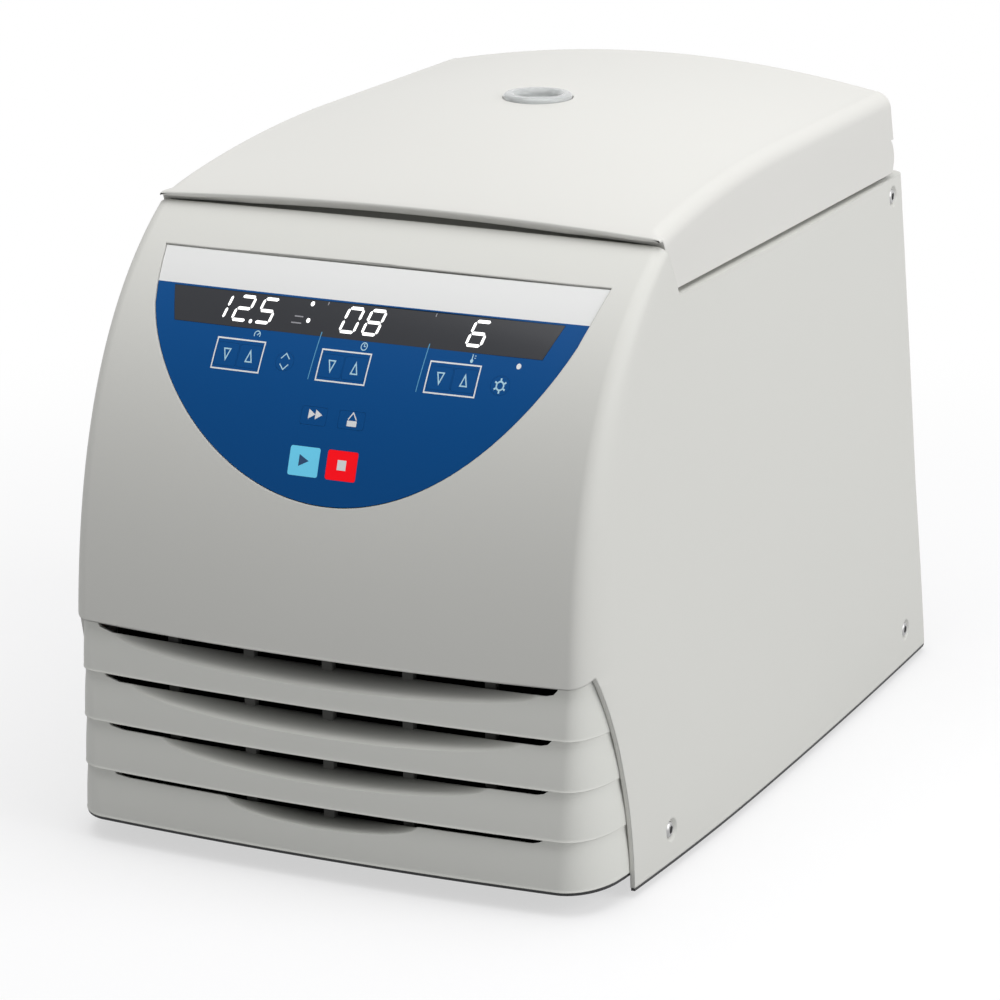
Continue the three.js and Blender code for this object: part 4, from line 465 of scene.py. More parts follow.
def make_moulded_group():
    """Spark-eroded grain, faint flow mottle and a little dust for moulded plastic."""
    group, given, leave = surface_group("moulded_surface", {
        "Colour": (0.8, 0.8, 0.8, 1), "Roughness": 0.5, "Grain size": 900.0, "Mottle": 0.03, "Dust": 0.03})
    flow, speck, grain = noise(group, 9.0, 4.0), noise(group, 60.0, 6.0), noise(group, given["Grain size"])
    shift = math_node(group, "MULTIPLY", math_node(group, "SUBTRACT", flow, 0.5), given["Mottle"])
    upward = math_node(group, "MAXIMUM", axes(group, add_node(group, "NewGeometry").outputs["Normal"])["Z"], 0.0)
    dust = math_node(group, "MULTIPLY", math_node(group, "MULTIPLY", upward, speck), given["Dust"])
    dusted = blend_colours(group, dust, brightened(group, given["Colour"], shift), (0.78, 0.77, 0.74, 1))
    rough = math_node(group, "ADD", given["Roughness"], math_node(group, "MULTIPLY", shift, 1.5))
    set_inputs(group, leave, {"Colour": dusted, "Roughness": rough, "Height": grain})
    return group


def make_brushed_group():
    """Fine drawn lines along one direction, for sheet and turned metal."""
    group, given, leave = surface_group("drawn_lines", {
        "Colour": (0.6, 0.6, 0.6, 1), "Roughness": 0.3, "Stretch": (40.0, 40.0, 1200.0), "Depth": 0.25})
    stretched = add_node(group, "VectorMath", {0: place_on_piece(group), 1: given["Stretch"]}, operation="MULTIPLY")
    lines = noise(group, 1.0, 3.0, stretched.outputs[0])
    change = math_node(group, "MULTIPLY", math_node(group, "SUBTRACT", lines, 0.5), given["Depth"])
    set_inputs(group, leave, {"Colour": brightened(group, given["Colour"], change), "Height": lines,
                              "Roughness": math_node(group, "ADD", given["Roughness"], change)})
    return group


MOULDED = make_moulded_group()
DRAWN = make_brushed_group()


def start_material(name):
    material = bpy.data.materials.new(name)
    material.use_nodes = True
    tree = material.node_tree
    return material, tree, tree.nodes["Principled BSDF"]


def lay_surface(tree, shader, group, inputs, depth, strength, corner=0.0):
    """Gives the shader a group's colour, roughness and bump, so many microns deep, with its corners softened."""
    surface = add_node(tree, "Group", inputs, node_tree=group).outputs
    bump = add_node(tree, "Bump", {"Height": surface["Height"], "Distance": depth * MICRON, "Strength": strength})
    if corner:
        soft = add_node(tree, "Bevel", {"Radius": corner * MM}, samples=4)
        tree.links.new(soft.outputs[0], bump.inputs["Normal"])
    set_inputs(tree, shader, {"Base Color": surface["Colour"], "Roughness": surface["Roughness"],
                              "Normal": bump.outputs[0]})
    return surface["Colour"]


def moulded(name, colour, roughness=0.5, grain=900.0, depth=20, mottle=0.03, dust=0.03, corner=0.4,
            specular=0.5, glow=0.0):
    material, tree, shader = start_material(name)
    tint = lay_surface(tree, shader, MOULDED, {"Colour": (*colour, 1), "Roughness": roughness,
                                               "Grain size": grain, "Mottle": mottle, "Dust": dust},
                       depth, 0.6, corner)
    shader.inputs["Specular IOR Level"].default_value = specular
    if glow:
        set_inputs(tree, shader, {"Emission Color": tint, "Emission Strength": glow})
    return material


def painted_recess_shade(colour):
    """The blades' moulding with painted shade: darker the further back a surface lies behind their front, standing in
    for the shade in the scoops under the lips.
    """
    material = moulded("blade moulding", colour, roughness=0.55)
    tree = material.node_tree
    base = tree.nodes["Principled BSDF"].inputs["Base Color"]
    at = axes(tree, place_on_piece(tree))
    bow = math_node(tree, "MULTIPLY", math_node(tree, "MULTIPLY", at["X"], at["X"]),
                    FACE.bow_at_lip / MM / FACE.bow_reach ** 2)
    behind = math_node(tree, "SUBTRACT", at["Y"], bow)
    # Painted shade: the colour darkens from the blades' front backwards.
    depth = math_node(tree, "SUBTRACT", behind, (HOUSING.front_y + LOUVRE.stain_from) * MM)
    share = math_node(tree, "MULTIPLY", depth, 1 / MM / LOUVRE.stain_over)
    share = math_node(tree, "MINIMUM", math_node(tree, "MAXIMUM", share, 0.0), 0.96)
    inside = math_node(tree, "LESS_THAN", math_node(tree, "ABSOLUTE", at["X"]), LOUVRE.stain_half * MM)
    shaded_colour = blend_colours(tree, math_node(tree, "MULTIPLY", share, inside), base.links[0].from_socket,
                            LOUVRE.stain)
    tree.links.new(shaded_colour, base)
    return material


def metal(name, colour, roughness=0.3, stretch=(40, 40, 1200), depth=0.25, metallic=1.0):
    material, tree, shader = start_material(name)
    lay_surface(tree, shader, DRAWN, {"Colour": (*colour, 1), "Roughness": roughness, "Stretch": stretch,
                                      "Depth": depth}, 10, 0.5, 0.3)
    shader.inputs["Metallic"].default_value = metallic
    return material


def printed_film():
    """The keypad film: a white heading band over blue, both under one satin coat."""
    material, tree, shader = start_material("printed film")
    band = math_node(tree, "GREATER_THAN", axes(tree, place_on_piece(tree))["Z"], (PANEL.band_z + FEET) * MM)
    colour = blend_colours(tree, band, (*FILM_BLUE, 1), (0.84, 0.845, 0.84, 1))
    lay_surface(tree, shader, MOULDED, {"Colour": colour, "Roughness": 0.42, "Grain size": 2600.0,
                                        "Mottle": 0.02, "Dust": 0.0}, 6, 0.5)
    shader.inputs["Specular IOR Level"].default_value = 0.12
    return material


def glowing(name, colour, strength):
    material, tree, shader = start_material(name)
    even = blend_colours(tree, math_node(tree, "MULTIPLY", noise(tree, 400.0), 0.12), (*colour, 1), WHITE)
    set_inputs(tree, shader, {"Base Color": even, "Emission Color": even, "Emission Strength": strength,
                              "Roughness": 0.5})
    return material


def clear_plastic():
    material, tree, shader = start_material("clear polycarbonate")
    haze = math_node(tree, "ADD", math_node(tree, "MULTIPLY", noise(tree, 80.0), 0.05), 0.05)
    set_inputs(tree, shader, {"Roughness": haze, "Base Color": (0.84, 0.86, 0.86, 1),
                              "Transmission Weight": 0.5, "IOR": 1.45})
    return material


def key_print(name, colour, **settings):
    return moulded(name, colour, grain=2600.0, depth=6, dust=0.0, corner=0.0, **settings)


def ink(name, colour):
    return moulded(name, colour, roughness=0.4, grain=3000.0, depth=2, dust=0.0, corner=0.0)


FILM_BLUE = (0.0, 0.075, 0.27)

housing_plastic = moulded("warm white moulding", (0.70, 0.70, 0.665), roughness=0.55, corner=1.1)
lid_plastic = moulded("lid moulding", (0.705, 0.70, 0.67))
grille_plastic = moulded("grille moulding", (0.70, 0.705, 0.67), roughness=0.55)
# The blades are painted lighter than the housing's moulding as painted light, and darker behind their front as
# painted shade.
blade_lit_and_shaded = painted_recess_shade((0.74, 0.745, 0.705))
liner_plastic = moulded("liner moulding", (0.60, 0.61, 0.59), roughness=0.45)
black_plastic = moulded("black moulding", (0.018, 0.018, 0.02), dust=0.05)
# A darker copy of the liner moulding for the recess wall: painted shade.
recess_painted_shade = moulded("recess moulding", (0.36, 0.36, 0.33), roughness=0.6)
# The ribs are the grille's moulding painted dark: painted shade inside the slots.
rib_painted_shade = moulded("shaded rib moulding", (0.10, 0.10, 0.095), roughness=0.7, specular=0.2)
# A near-black matt finish for the sheet behind the blades: painted shade.
filter_mat = moulded("filter mat", (0.006, 0.006, 0.006), roughness=0.95, grain=700.0, depth=500, dust=0.0,
                     specular=0.05)
gloss_black = moulded("gloss black", (0.012, 0.012, 0.014), roughness=0.16, depth=4, dust=0.0)
display_dark = moulded("smoked window", (0.018, 0.020, 0.026), roughness=0.22, depth=3, dust=0.0,
                       corner=0.0, specular=0.35)
rubber = moulded("black rubber", (0.02, 0.02, 0.021), roughness=0.8, grain=500.0, depth=40, dust=0.1)
foam = moulded("expanded foam", (0.62, 0.55, 0.42), roughness=0.9, grain=300.0, depth=300)
laminate = moulded("board laminate", (0.02, 0.12, 0.06), roughness=0.4, mottle=0.2)
enamel = moulded("black enamel", (0.012, 0.012, 0.014), roughness=0.22, depth=4, dust=0.15)
film = printed_film()
key_film = key_print("blue key film", FILM_BLUE, roughness=0.42, mottle=0.02, specular=0.12)
# The start and stop keys' print is given a glow: painted light, as the keys hold no lamp.
cyan_film = key_print("cyan key film", (0.14, 0.56, 0.78), roughness=0.4, specular=0.15, glow=0.3)
red_film = key_print("red key film", (0.82, 0.002, 0.008), roughness=0.4, specular=0.15, glow=0.42)
white_ink = ink("white ink", (0.86, 0.87, 0.88))
pale_ink = ink("pale blue ink", (0.45, 0.72, 0.86))
mid_ink = ink("mid blue ink", (0.08, 0.33, 0.55))
navy_ink = ink("navy ink", (0.0, 0.05, 0.15))
grey_ink = ink("grey ink", (0.30, 0.30, 0.33))
segment_light = glowing("segment light", (1.0, 1.0, 1.0), 1.0)
clear = clear_plastic()
stainless = metal("brushed stainless", (0.60, 0.60, 0.61), 0.28)
zinc = metal("zinc-grey paint", (0.42, 0.43, 0.44), 0.45, depth=0.05, metallic=0.3)
copper = metal("drawn copper", (0.70, 0.36, 0.24))
anodised = metal("dark anodised", (0.07, 0.08, 0.095), 0.38, stretch=(600, 600, 40), depth=0.3)
cast = metal("die cast", (0.44, 0.45, 0.46), 0.5, stretch=(300, 300, 300), depth=0.3)
fin_metal = metal("fin sheet", (0.55, 0.56, 0.57), 0.35, stretch=(40, 40, 900))
screw_steel = metal("screw steel", (0.50, 0.50, 0.50), 0.32, stretch=(900, 900, 900), depth=0.15)

SLOT_FINISH = {
    "moulding": housing_plastic, "lid_moulding": lid_plastic, "grille": grille_plastic, "liner": liner_plastic,
    "sheet": zinc, "rubber": rubber, "black_plastic": black_plastic, "black_gloss": gloss_black,
    "stainless": stainless, "copper": copper, "foam": foam, "anodised": anodised, "cast": cast,
    "fins": fin_metal, "black_enamel": enamel, "circuit_board": laminate, "blue_overlay": film,
    "blue_key": key_film, "cyan_key": cyan_film, "red_key": red_film, "dark_display": display_dark, "clear": clear,
}
SLOT_OF = {part["node"]: part["material_slot"] for part in frame["record"]["subparts"]}


def dress_cad_nodes():
    for name, slot in SLOT_OF.items():
        node = nodes[name]
        node.data.materials.clear()
        node.data.materials.append(SLOT_FINISH[slot])


dress_cad_nodes()


# Housing cover

def lid_space():
    """The room over the deck and behind the ridge, which the lid takes up."""
    far_y = HOUSING.rear_y + 8
    return prism([(FACE.ridge_foot_y, HOUSING.deck_z), (far_y, HOUSING.deck_z), (far_y, LID.crown_z),
                  (FACE.ridge_y, LID.crown_z), (FACE.ridge_y, FACE.ridge_z)],
                 -HOUSING.half_width - OVERRUN, HOUSING.half_width + OVERRUN, "lid space")


def side_edge_points():
    """The curved front edge of the cover's sides, from the face's lip down to the foot."""
    edge = SIDE_EDGE
    return [((1 - t) ** 2 * edge.top_y + 2 * t * (1 - t) * edge.handle_y + t * t * edge.foot_y,
             (1 - t) ** 2 * edge.top_z + 2 * t * (1 - t) * edge.handle_z) for t in (i / 40 for i in range(41))]


def rear_return():
    """A frame behind the back wall that brings its opening down to the rear panel."""
    old = [(HOUSING.rear_y, 0), (BACK.kink_y, HOUSING.rear_kink_z), (BACK.top_y, HOUSING.deck_z)]
    new = [(rear_y_at(z) - HOUSING.wall / 2, z) for y, z in old]
    half = BACK.half + BACK.frame
    outline = [(y - HOUSING.wall, z) for y, z in old] + new[::-1]
    frame_piece = prism(outline, -half, half, "rear return")
    for levels in ((BACK.high_z + BACK.frame, 300), (-5, 0.2)):
        cut(frame_piece, block((-half - 1, half + 1), (BACK.room_y, BEHIND), levels))
    return frame_piece


def make_cover():
    rings = [level_ring(z, FACE.lip_y) for z in HOUSING.low_levels]
    for share in (0.0, 0.35, 0.65, 0.85, 1.0):
        z = FACE.lip_z + share * FACE.bead_height
        rings.append(level_ring(z, face_y_at(z) - FACE.bead * (1 - share ** 1.5)))
    for i in range(1, FACE.rows + 1):
        y, z = face_curve(i / FACE.rows)
        if z > FACE.lip_z + 2 * FACE.bead_height:
            rings.append(level_ring(z, y))
    cover = rings_to_skin("housing cover", rings)
    cut(cover, lid_space())
    apply_modifier(cover, "SOLIDIFY", thickness=HOUSING.wall * MM, offset=-1.0, use_even_offset=True)
    ahead = HOUSING.front_y - 8
    cut(cover, prism([(ahead, FACE.lip_z), (ahead, -8), (SIDE_EDGE.foot_y, -8)] + side_edge_points()[::-1]
                     + list(SIDE_EDGE.rise), -ASIDE, ASIDE, "intake"))
    cut(cover, block((-ASIDE, ASIDE), (-BEHIND, BEHIND), (-10, 0)))
    cut(cover, rod(MOUTH.radius, (0, CHAMBER_Y, MOUTH.low_z), (0, CHAMBER_Y, MOUTH.high_z), 96))
    cut(cover, block((-LATCH_SLOT.half, LATCH_SLOT.half), (LATCH_SLOT.front_y, LATCH_SLOT.rear_y),
                     (LATCH_SLOT.low_z, LATCH_SLOT.high_z)))
    cut(cover, rear_return(), operation="UNION")
    cut(cover, block((-BACK.half, BACK.half), (BACK.open_from, BACK.open_to), (BACK.low_z, BACK.high_z)))
    cut(cover, face_sheet("pocket", panel_rows(-PANEL.rim, PANEL.top_z + PANEL.rim), PANEL.proud,
                          PANEL.proud + PANEL.recess, 40))
    cut(cover, face_sheet("window", panel_rows(PANEL.ledge, PANEL.opening_top_z, 30), PANEL.proud,
                          PANEL.proud + PANEL.window_depth, 24))
    cut(cover, *screw_recess_cutters())
    return cover


SCREW = Form(places=[(-146.5, 15.5), (184, 17.5), (173.5, 255)], radius=4.0, socket=2.1, socket_depth=1.3,
             head=1.5, sunk=1.7, recess_gap=0.4, recess_flare=2.6)


def screw_recess_cutters():
    cutters = []
    for y, z in SCREW.places:
        for side in (-1, 1):
            x = side * side_x_at(y, z)
            cutters.append(rod(SCREW.radius + SCREW.recess_gap, (x - side * SCREW.sunk, y, z),
                               (x + side * 1.0, y, z), 40, end_radius=SCREW.radius + SCREW.recess_flare))
    return cutters


finish_piece(make_cover(), "cover_moulding", "housing", housing_plastic, "moulding", "housing_cover", angle=28.0)


# Louvred grille

def grille_front_y(z):
    return mix(HOUSING.front_y, FACE.lip_y, z / FACE.lip_z)


def scoop_width_share(i, x):
    """1 in the middle of blade i's scoop, 0 from its ends outwards."""
    return np.clip(1 - (x / LOUVRE.scoop_halves[i]) ** 2, 0, 1)


def scoop_depth(i, x):
    return LOUVRE.scoop_depth * scoop_width_share(i, x) ** 0.75


def opening_floor(i, x):
    """The lower edge of the opening over blade i, which drops as the scoop runs back."""
    share, slot = np.sqrt(scoop_width_share(i, x)), LOUVRE.slots[i]
    return LOUVRE.lips[i] - mix(slot, LOUVRE.opening, share) - LOUVRE.fall * scoop_depth(i, x)


def blade_skin(name, inset, side, narrower, swollen=True, low=None, high=None):
    """Blades that swell towards their lower lip; under each slot a scoop runs back to its full depth."""
    front_steps, corner_steps = 60, 20
    heights = np.linspace(-6, 124, 66)
    levels = np.array([level_ring(z, grille_front_y(z) + inset, side=side, narrower=narrower,
                                  steps=(front_steps, corner_steps, 8, 3)) for z in heights])
    count = levels.shape[1]
    x = levels[len(heights) // 2, :, 0]
    half = [1.0] * front_steps + [math.sin(i / corner_steps * QUARTER) for i in range(corner_steps, 0, -1)]
    frontness = np.zeros(count)
    frontness[:len(half)] = half
    frontness[count - len(half) + 1:] = half[:0:-1]
    rows = []

    def swell_at(z, foot, top):
        return LOUVRE.swell * (1 - ((z - foot) / (top - foot)) ** 2.2) if swollen else 0.0

    def add_row(z, back=0.0, drawn_in=0.0):
        z = np.broadcast_to(z, count)
        places = np.array([[np.interp(z[k], heights, levels[:, k, axis]) for axis in (0, 1)] for k in range(count)])
        places[:, 1] += back * frontness
        places[:, 0] -= np.sign(places[:, 0]) * drawn_in * (1 - frontness)
        rows.append(np.column_stack([places, z]))

    if low is not None:
        add_row(low)
    feet = list(LOUVRE.lips[1:]) + [LOUVRE.foot_z]
    for i, (lip, foot) in reversed(list(enumerate(zip(LOUVRE.lips, feet)))):
        top = lip - LOUVRE.slots[i]
        height = np.maximum(LOUVRE.scoop_heights[i] * np.sqrt(scoop_width_share(i, x)), 0.8)
        for share in (0.0, 0.03, 0.06, 0.1, 0.3, 0.55, 0.8, 1.0):
            z = mix(foot, top - height, share)
            bead = LOUVRE.bead * np.clip(1 - (z - foot) / LOUVRE.bead_height, 0, 1) ** 1.5 if swollen else 0.0
            add_row(z, -swell_at(z, foot, top) - bead, LOUVRE.side_swell * share ** 2.2)
        for share in (0.06, 0.2, 0.4, 0.6, 0.8, 1.0):
            z = mix(top - height, opening_floor(i, x), share)
            add_row(z, scoop_depth(i, x) * share ** 1.1 - swell_at(z, foot, top), LOUVRE.side_swell)
        add_row(lip - LOUVRE.undercut, scoop_depth(i, x), LOUVRE.side_swell)
    add_row(high, 1.6, LOUVRE.side_swell)
    return rings_to_skin(name, rows)


def slot_cutter(i):
    """A slot with a pointed left end, whose floor falls inwards from the scoop's edge."""
    half, lip, end = LOUVRE.slot_halves[i], LOUVRE.lips[i], LOUVRE.slot_end
    edge, z = lip - LOUVRE.undercut, lip - LOUVRE.slots[i]
    top = lip + 9 if i == 0 else edge
    rows = []
    for x in np.concatenate([[-half, -half + 1], np.linspace(end - half, half - end * 0.7, 91),
                             [half - end * 0.25, half]]):
        floor = np.interp(x, [-half, 1 - half, end - half, half - end * 0.7, half - end * 0.25, half],
                          [edge - 0.3, edge - 1.6, z, z, z + 0.9, edge - 0.3]) + opening_floor(i, x) - z
        start = grille_front_y(z) + LOUVRE.set_back + bow_at(x, z) + scoop_depth(i, x)
        near, far = HOUSING.front_y - 8, start + 40
        rows.append([(x, near, top), (x, near, floor), (x, start, floor),
                     (x, far, floor - LOUVRE.fall * (far - start)), (x, far, top)])
    return rings_to_skin("slot", rows)


def make_grille():
    """One hollow moulding of four blades, open to the rear."""
    side, high = HOUSING.wall + LOUVRE.side_gap, SIDE_EDGE.top_z + 2
    grille = blade_skin("grille", LOUVRE.set_back, side, 1.2, high=high)
    inner = blade_skin("inner", LOUVRE.set_back + LOUVRE.shell, side + LOUVRE.return_wall, 4,
                       swollen=False, low=-3, high=high + 4)
    cut(grille, inner)
    cut(grille, block((-ASIDE, ASIDE), (LOUVRE.return_y, BEHIND), (-10, 120)))
    for i in range(len(LOUVRE.lips)):
        cut(grille, slot_cutter(i))
    return grille


finish_piece(make_grille(), "louvre_blades", "housing", blade_lit_and_shaded, "grille", "front_grille", angle=30.0)


def make_ribs():
    """Short bridges across each slot, hanging from the blade above, in a dark colour that is painted shade."""
    ribs = []
    for number, lip in enumerate(LOUVRE.lips):
        for i in range(LOUVRE.ribs):
            x = (i - (LOUVRE.ribs - 1) / 2) * LOUVRE.rib_pitch
            y = grille_front_y(lip) + LOUVRE.rib_inset + bow_at(x, 0)
            rib = block((x - LOUVRE.rib / 2, x + LOUVRE.rib / 2), (y, y + LOUVRE.rib_depth),
                        (opening_floor(number, x) - LOUVRE.rib_drop, lip + 1.0))
            apply_modifier(rib, "BEVEL", width=LOUVRE.rib_edge * MM, segments=2)
            ribs.append(rib)
    return merge(*ribs)


finish_piece(make_ribs(), "grille_ribs", "housing", rib_painted_shade, "grille")


def make_filter():
    """A near-black sheet behind the blades, bowed as they are: painted shade, so the slots read dark."""
    rows = []
    for z in np.linspace(SHADE_SHEET.low_z, SHADE_SHEET.high_z, 5):
        front = [(x, grille_front_y(z) + SHADE_SHEET.behind + bow_at(x, 0), z)
                 for x in np.linspace(-SHADE_SHEET.half, SHADE_SHEET.half, 25)]
        rows.append(front + [(x, y + SHADE_SHEET.thickness, z) for x, y, z in front[::-1]])
    return rings_to_skin("filter", rows)


finish_piece(make_filter(), "air_filter", "housing", filter_mat, "black_plastic")


def shadow_strip_skin(levels, front_y, side):
    return rings_to_skin("shadow strip", [level_ring(z, front_y, side=side, rear=SHADOW_STRIP.inset, narrower=1.2,
                                             steps=(40, 16, 16, 4)) for z in levels])


def make_shadow_strip():
    """A thin black strip under the housing, painted shade standing in for the shadow line beneath it: level under the
    sides, higher under the blades.
    """
    side = HOUSING.wall + LOUVRE.side_gap + SHADOW_STRIP.inset
    front = HOUSING.front_y + LOUVRE.set_back - LOUVRE.swell + SHADOW_STRIP.inset
    under_blades = shadow_strip_skin((LOUVRE.foot_z - SHADOW_STRIP.height, LOUVRE.foot_z + SHADOW_STRIP.foot), front, side)
    cut(under_blades, block((-ASIDE, ASIDE), (SIDE_EDGE.foot_y + 2, BEHIND), (-10, 30)))
    under_sides = shadow_strip_skin((-SHADOW_STRIP.height, SHADOW_STRIP.foot), FACE.lip_y, SHADOW_STRIP.inset)
    cut(under_sides, shadow_strip_skin((-SHADOW_STRIP.height - OVERRUN, OVERRUN), FACE.lip_y, HOUSING.wall))
    cut(under_sides, block((-ASIDE, ASIDE), (-BEHIND - 20, SIDE_EDGE.foot_y + 0.6), (-10, 30)))
    return merge(under_blades, under_sides)


finish_piece(make_shadow_strip(), "foot_shadow_strip", "housing", black_plastic, "black_plastic")


# Lid

def lid_section(y, wall):
    front = np.clip((y - LID.front_y) / (LID.crown_y - LID.front_y), 0, 1)
    rear = np.clip((y - LID.crown_y) / (LID.rear_top_y - LID.crown_y), 0, 1)
    ease = math.sin(front * QUARTER)
    crown = (mix(LID.crown_front_z, LID.crown_z, ease ** 0.8) if y < LID.crown_y
             else mix(LID.crown_z, LID.rear_crown_z, rear ** 2)) - wall
    side = (mix(LID.side_front_z, LID.side_rear_z, ease ** 0.7) if y < LID.crown_y
            else LID.side_rear_z) - wall
    return crown, min(crown, side)


def lid_half_at(y):
    return LID.half_width if y < 0 else mix(LID.half_width, LID.rear_half_width, y / LID.rear_top_y)


def lid_foot_at(y):
    seam_z = HOUSING.deck_z + LID.seam
    if y > LID.skirt_front_y:
        return seam_z
    lip_y = LID.front_y + LID.lip_depth
    return mix(LID.front_z, seam_z, max((y - lip_y) / (LID.skirt_front_y - lip_y), 0))


def lid_rear_lean(y, z):
    share = np.clip((y - LID.crown_y) / (LID.rear_top_y - LID.crown_y), 0, 1)
    fall = (LID.rear_crown_z - z) / (LID.rear_crown_z - LID.rear_foot_z)
    return share ** 4 * (LID.rear_foot_y - LID.rear_top_y) * fall


def lip_arch(x, y):
    """The lower face of the lid's front lip, arched over the finger recess and slanting back."""
    share = np.clip(1 - (x / LID.scoop_half) ** 2, 0, 1)
    back = np.clip(y - LID.front_y - LID.edge_radius, 0, LID.undercut)
    return LID.front_z + LID.scoop_base + LID.scoop_rise * share - back


def lid_ring(y, wall, shrink=0.0, folded=False):
    """A cross-section of the lid; folded, its upper and lower sides meet on one line that closes the front."""
    crown, shoulder_z = lid_section(y, wall)
    foot = lid_foot_at(y) - (OVERRUN if wall else 0.0) + shrink
    crown -= shrink
    shoulder_z -= shrink
    half = lid_half_at(y) - wall - shrink
    radius = max(LID.shoulder - wall, LEAST_ROUND)
    room = max(shoulder_z - foot, LEAST_ROUND)
    drop = min(radius, room * 0.7)
    edge = half - radius
    right = [(half, mix(foot, shoulder_z - drop, s)) for s in (0.0, 0.2, 0.4, 0.6, 0.8, 1.0)]
    for i in range(1, 13):
        angle = i / 12 * QUARTER
        right.append((half - radius * (1 - math.cos(angle)), shoulder_z - drop * (1 - math.sin(angle))))
    for i in range(1, 25):
        x = edge * (1 - i / 24)
        right.append((x, crown - (crown - shoulder_z) * (x / edge) ** 2))
    left = [(-x, z) for x, z in right[:-1]][::-1]
    arched = not wall and y < LID.front_y + RECESS.behind
    under = [(x, max(foot, lip_arch(x, y) + shrink) if arched else foot)
             for x in (mix(-half, half, i / LID.slots) for i in range(1, LID.slots))]
    if folded:
        snapped = [round(x / half * LID.slots / 2) * 2 * half / LID.slots for x, z in right + left + under]
        heights = {x: (max(foot, lip_arch(x, y) + shrink)
                       + (crown - (crown - shoulder_z) * min((x / edge) ** 2, 1)
                          if abs(x) < half - 1e-6 else shoulder_z)) / 2 for x in snapped}
        right, left, under = [(x, heights[x]) for x in snapped], [], []
    seam_z = HOUSING.deck_z + LID.seam
    return [(x * (1 - LID.lean * (z - seam_z) / half), y + lid_rear_lean(y, z), z)
            for x, z in right + left + under]


def make_lid():
    front_y, edge, foot_y, rear_y = LID.front_y, LID.edge_radius, LID.skirt_front_y, LID.rear_top_y
    lip_y, rear_edge = front_y + LID.lip_depth, LID.rear_radius
    turns = [i / 6 * QUARTER for i in range(7)]
    stations = [front_y + 2.6, lip_y - 0.4, lip_y + 0.4, *np.linspace(lip_y + 2, foot_y - 0.6, 12),
                foot_y + 0.4, *np.linspace(foot_y + 5, rear_y - rear_edge, 56)]
    rings = [lid_ring(front_y, 0.0, shrink=edge, folded=True)]
    rings += [lid_ring(front_y + edge * (1 - math.cos(a)), 0.0, shrink=edge * (1 - math.sin(a))) for a in turns]
    rings += [lid_ring(y, 0.0) for y in stations]
    rings += [lid_ring(rear_y - rear_edge + rear_edge * math.sin(a), 0.0, shrink=rear_edge * (1 - math.cos(a)))
              for a in turns[1:]]
    lid = rings_to_skin("lid", rings)
    inner_stations = [lip_y + 1.5, *np.linspace(lip_y + 4, rear_y - 8, 40), rear_y - LID.wall]
    cut(lid, rings_to_skin("lid inner", [lid_ring(y, LID.wall) for y in inner_stations]))
    cut(lid, rod(LENS.radius + LENS.gap, (0, CHAMBER_Y, 300), (0, CHAMBER_Y, 330), 96))
    cut_hinge_room(lid)
    return lid


def cut_hinge_room(lid):
    """Frees the lid's back round the hinge blocks and rounds the two flaps beside them."""
    half, inner_x = HINGE.block_half + HINGE.clearance, LID.skirt_inner
    low, top, y, z = HOUSING.deck_z - 1, LID.rear_foot_z, HINGE.y, HINGE.z
    cut(lid, block((-inner_x, inner_x), (y - half, 230), (low, z)))
    cut(lid, block((-inner_x, inner_x), (y, 230), (low, top)))
    for hand in (-1, 1):
        cut(lid, rod(half, (hand * HINGE.ear_x, y, z), (hand * inner_x, y, z), 64))
        behind_flap = block(sorted((hand * (inner_x - 1), hand * ASIDE)), (y, 230), (low, top))
        cut(behind_flap, rod(LID.flap_radius, (hand * (inner_x - 3), y, z),
                             (hand * (ASIDE + OVERRUN), y, z), 64))
        cut(lid, behind_flap)


finish_piece(make_lid(), "lid_moulding", "lid", lid_plastic, "lid_moulding", "lid_shell", angle=30.0)


def make_recess_wall():
    """The pale wall at the back of the finger recess under the lid's front, its moulding painted darker than the
    liner's as painted shade.
    """
    back, wall, lean = LID.front_y + RECESS.behind, RECESS.wall, RECESS.lean
    crown, shoulder = lid_section(back, 0)
    rows = []
    for x in np.linspace(-RECESS.half, RECESS.half, 41):
        near, far = (lid_foot_at(y) - RECESS.below_foot for y in (back, back + wall))
        top = max(crown - (crown - shoulder) * (x / RECESS.half) ** 2 - RECESS.below_top, near + 1)
        rows.append([(x, back, near), (x, back + lean, top), (x, back + lean + wall, top), (x, back + wall, far)])
    return rings_to_skin("recess wall", rows)


finish_piece(make_recess_wall(), "finger_recess", "lid", recess_painted_shade, "liner")


def make_lens():
    z1 = LID.crown_z + LENS.proud
    z0, radius, bore = z1 - LENS.height, LENS.radius, LENS.bore
    profile = [(0, z0), (radius - SEAT, z0), (radius - SEAT, z1 - LENS.outer_bevel), (radius - LENS.bevel, z1),
               (bore + LENS.bevel, z1), (bore, z1 - LENS.dish), (bore - LENS.taper, z0 + LENS.pane),
               (0, z0 + LENS.pane)]
    return turned("lens", rounded(profile, LENS.outer_bevel), 96, 0, CHAMBER_Y)


finish_piece(make_lens(), "window_ring", "lid", clear, "clear", "lid_window", angle=50.0)


# Chamber and rotor

CHAMBER = Form(radius=94, depth=84, corner=22, wall=1, flange=9, flange_thickness=1.2, shaft_hole=15)
ROTOR = Form(radius=84, height=50, floor_gap=8, hub=20, lid_height=8, lip=3, knob=21, knob_height=11,
             flutes=8, flute=2.4)
GASKET = Form(top_z=269.1, width=6, taper=1.5)
BOWL_TOP_Z = HOUSING.deck_z + SEAT + CHAMBER.flange_thickness
BOWL_FLOOR_Z = BOWL_TOP_Z - CHAMBER.depth
ROTOR_TOP_Z = BOWL_FLOOR_Z + ROTOR.floor_gap + ROTOR.height


def finish_round_part(piece, node, name, angle=35.0):
    slot = SLOT_OF[node]
    finish_piece(piece, name, nodes[node]["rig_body"], SLOT_FINISH[slot], slot, node, angle=angle)


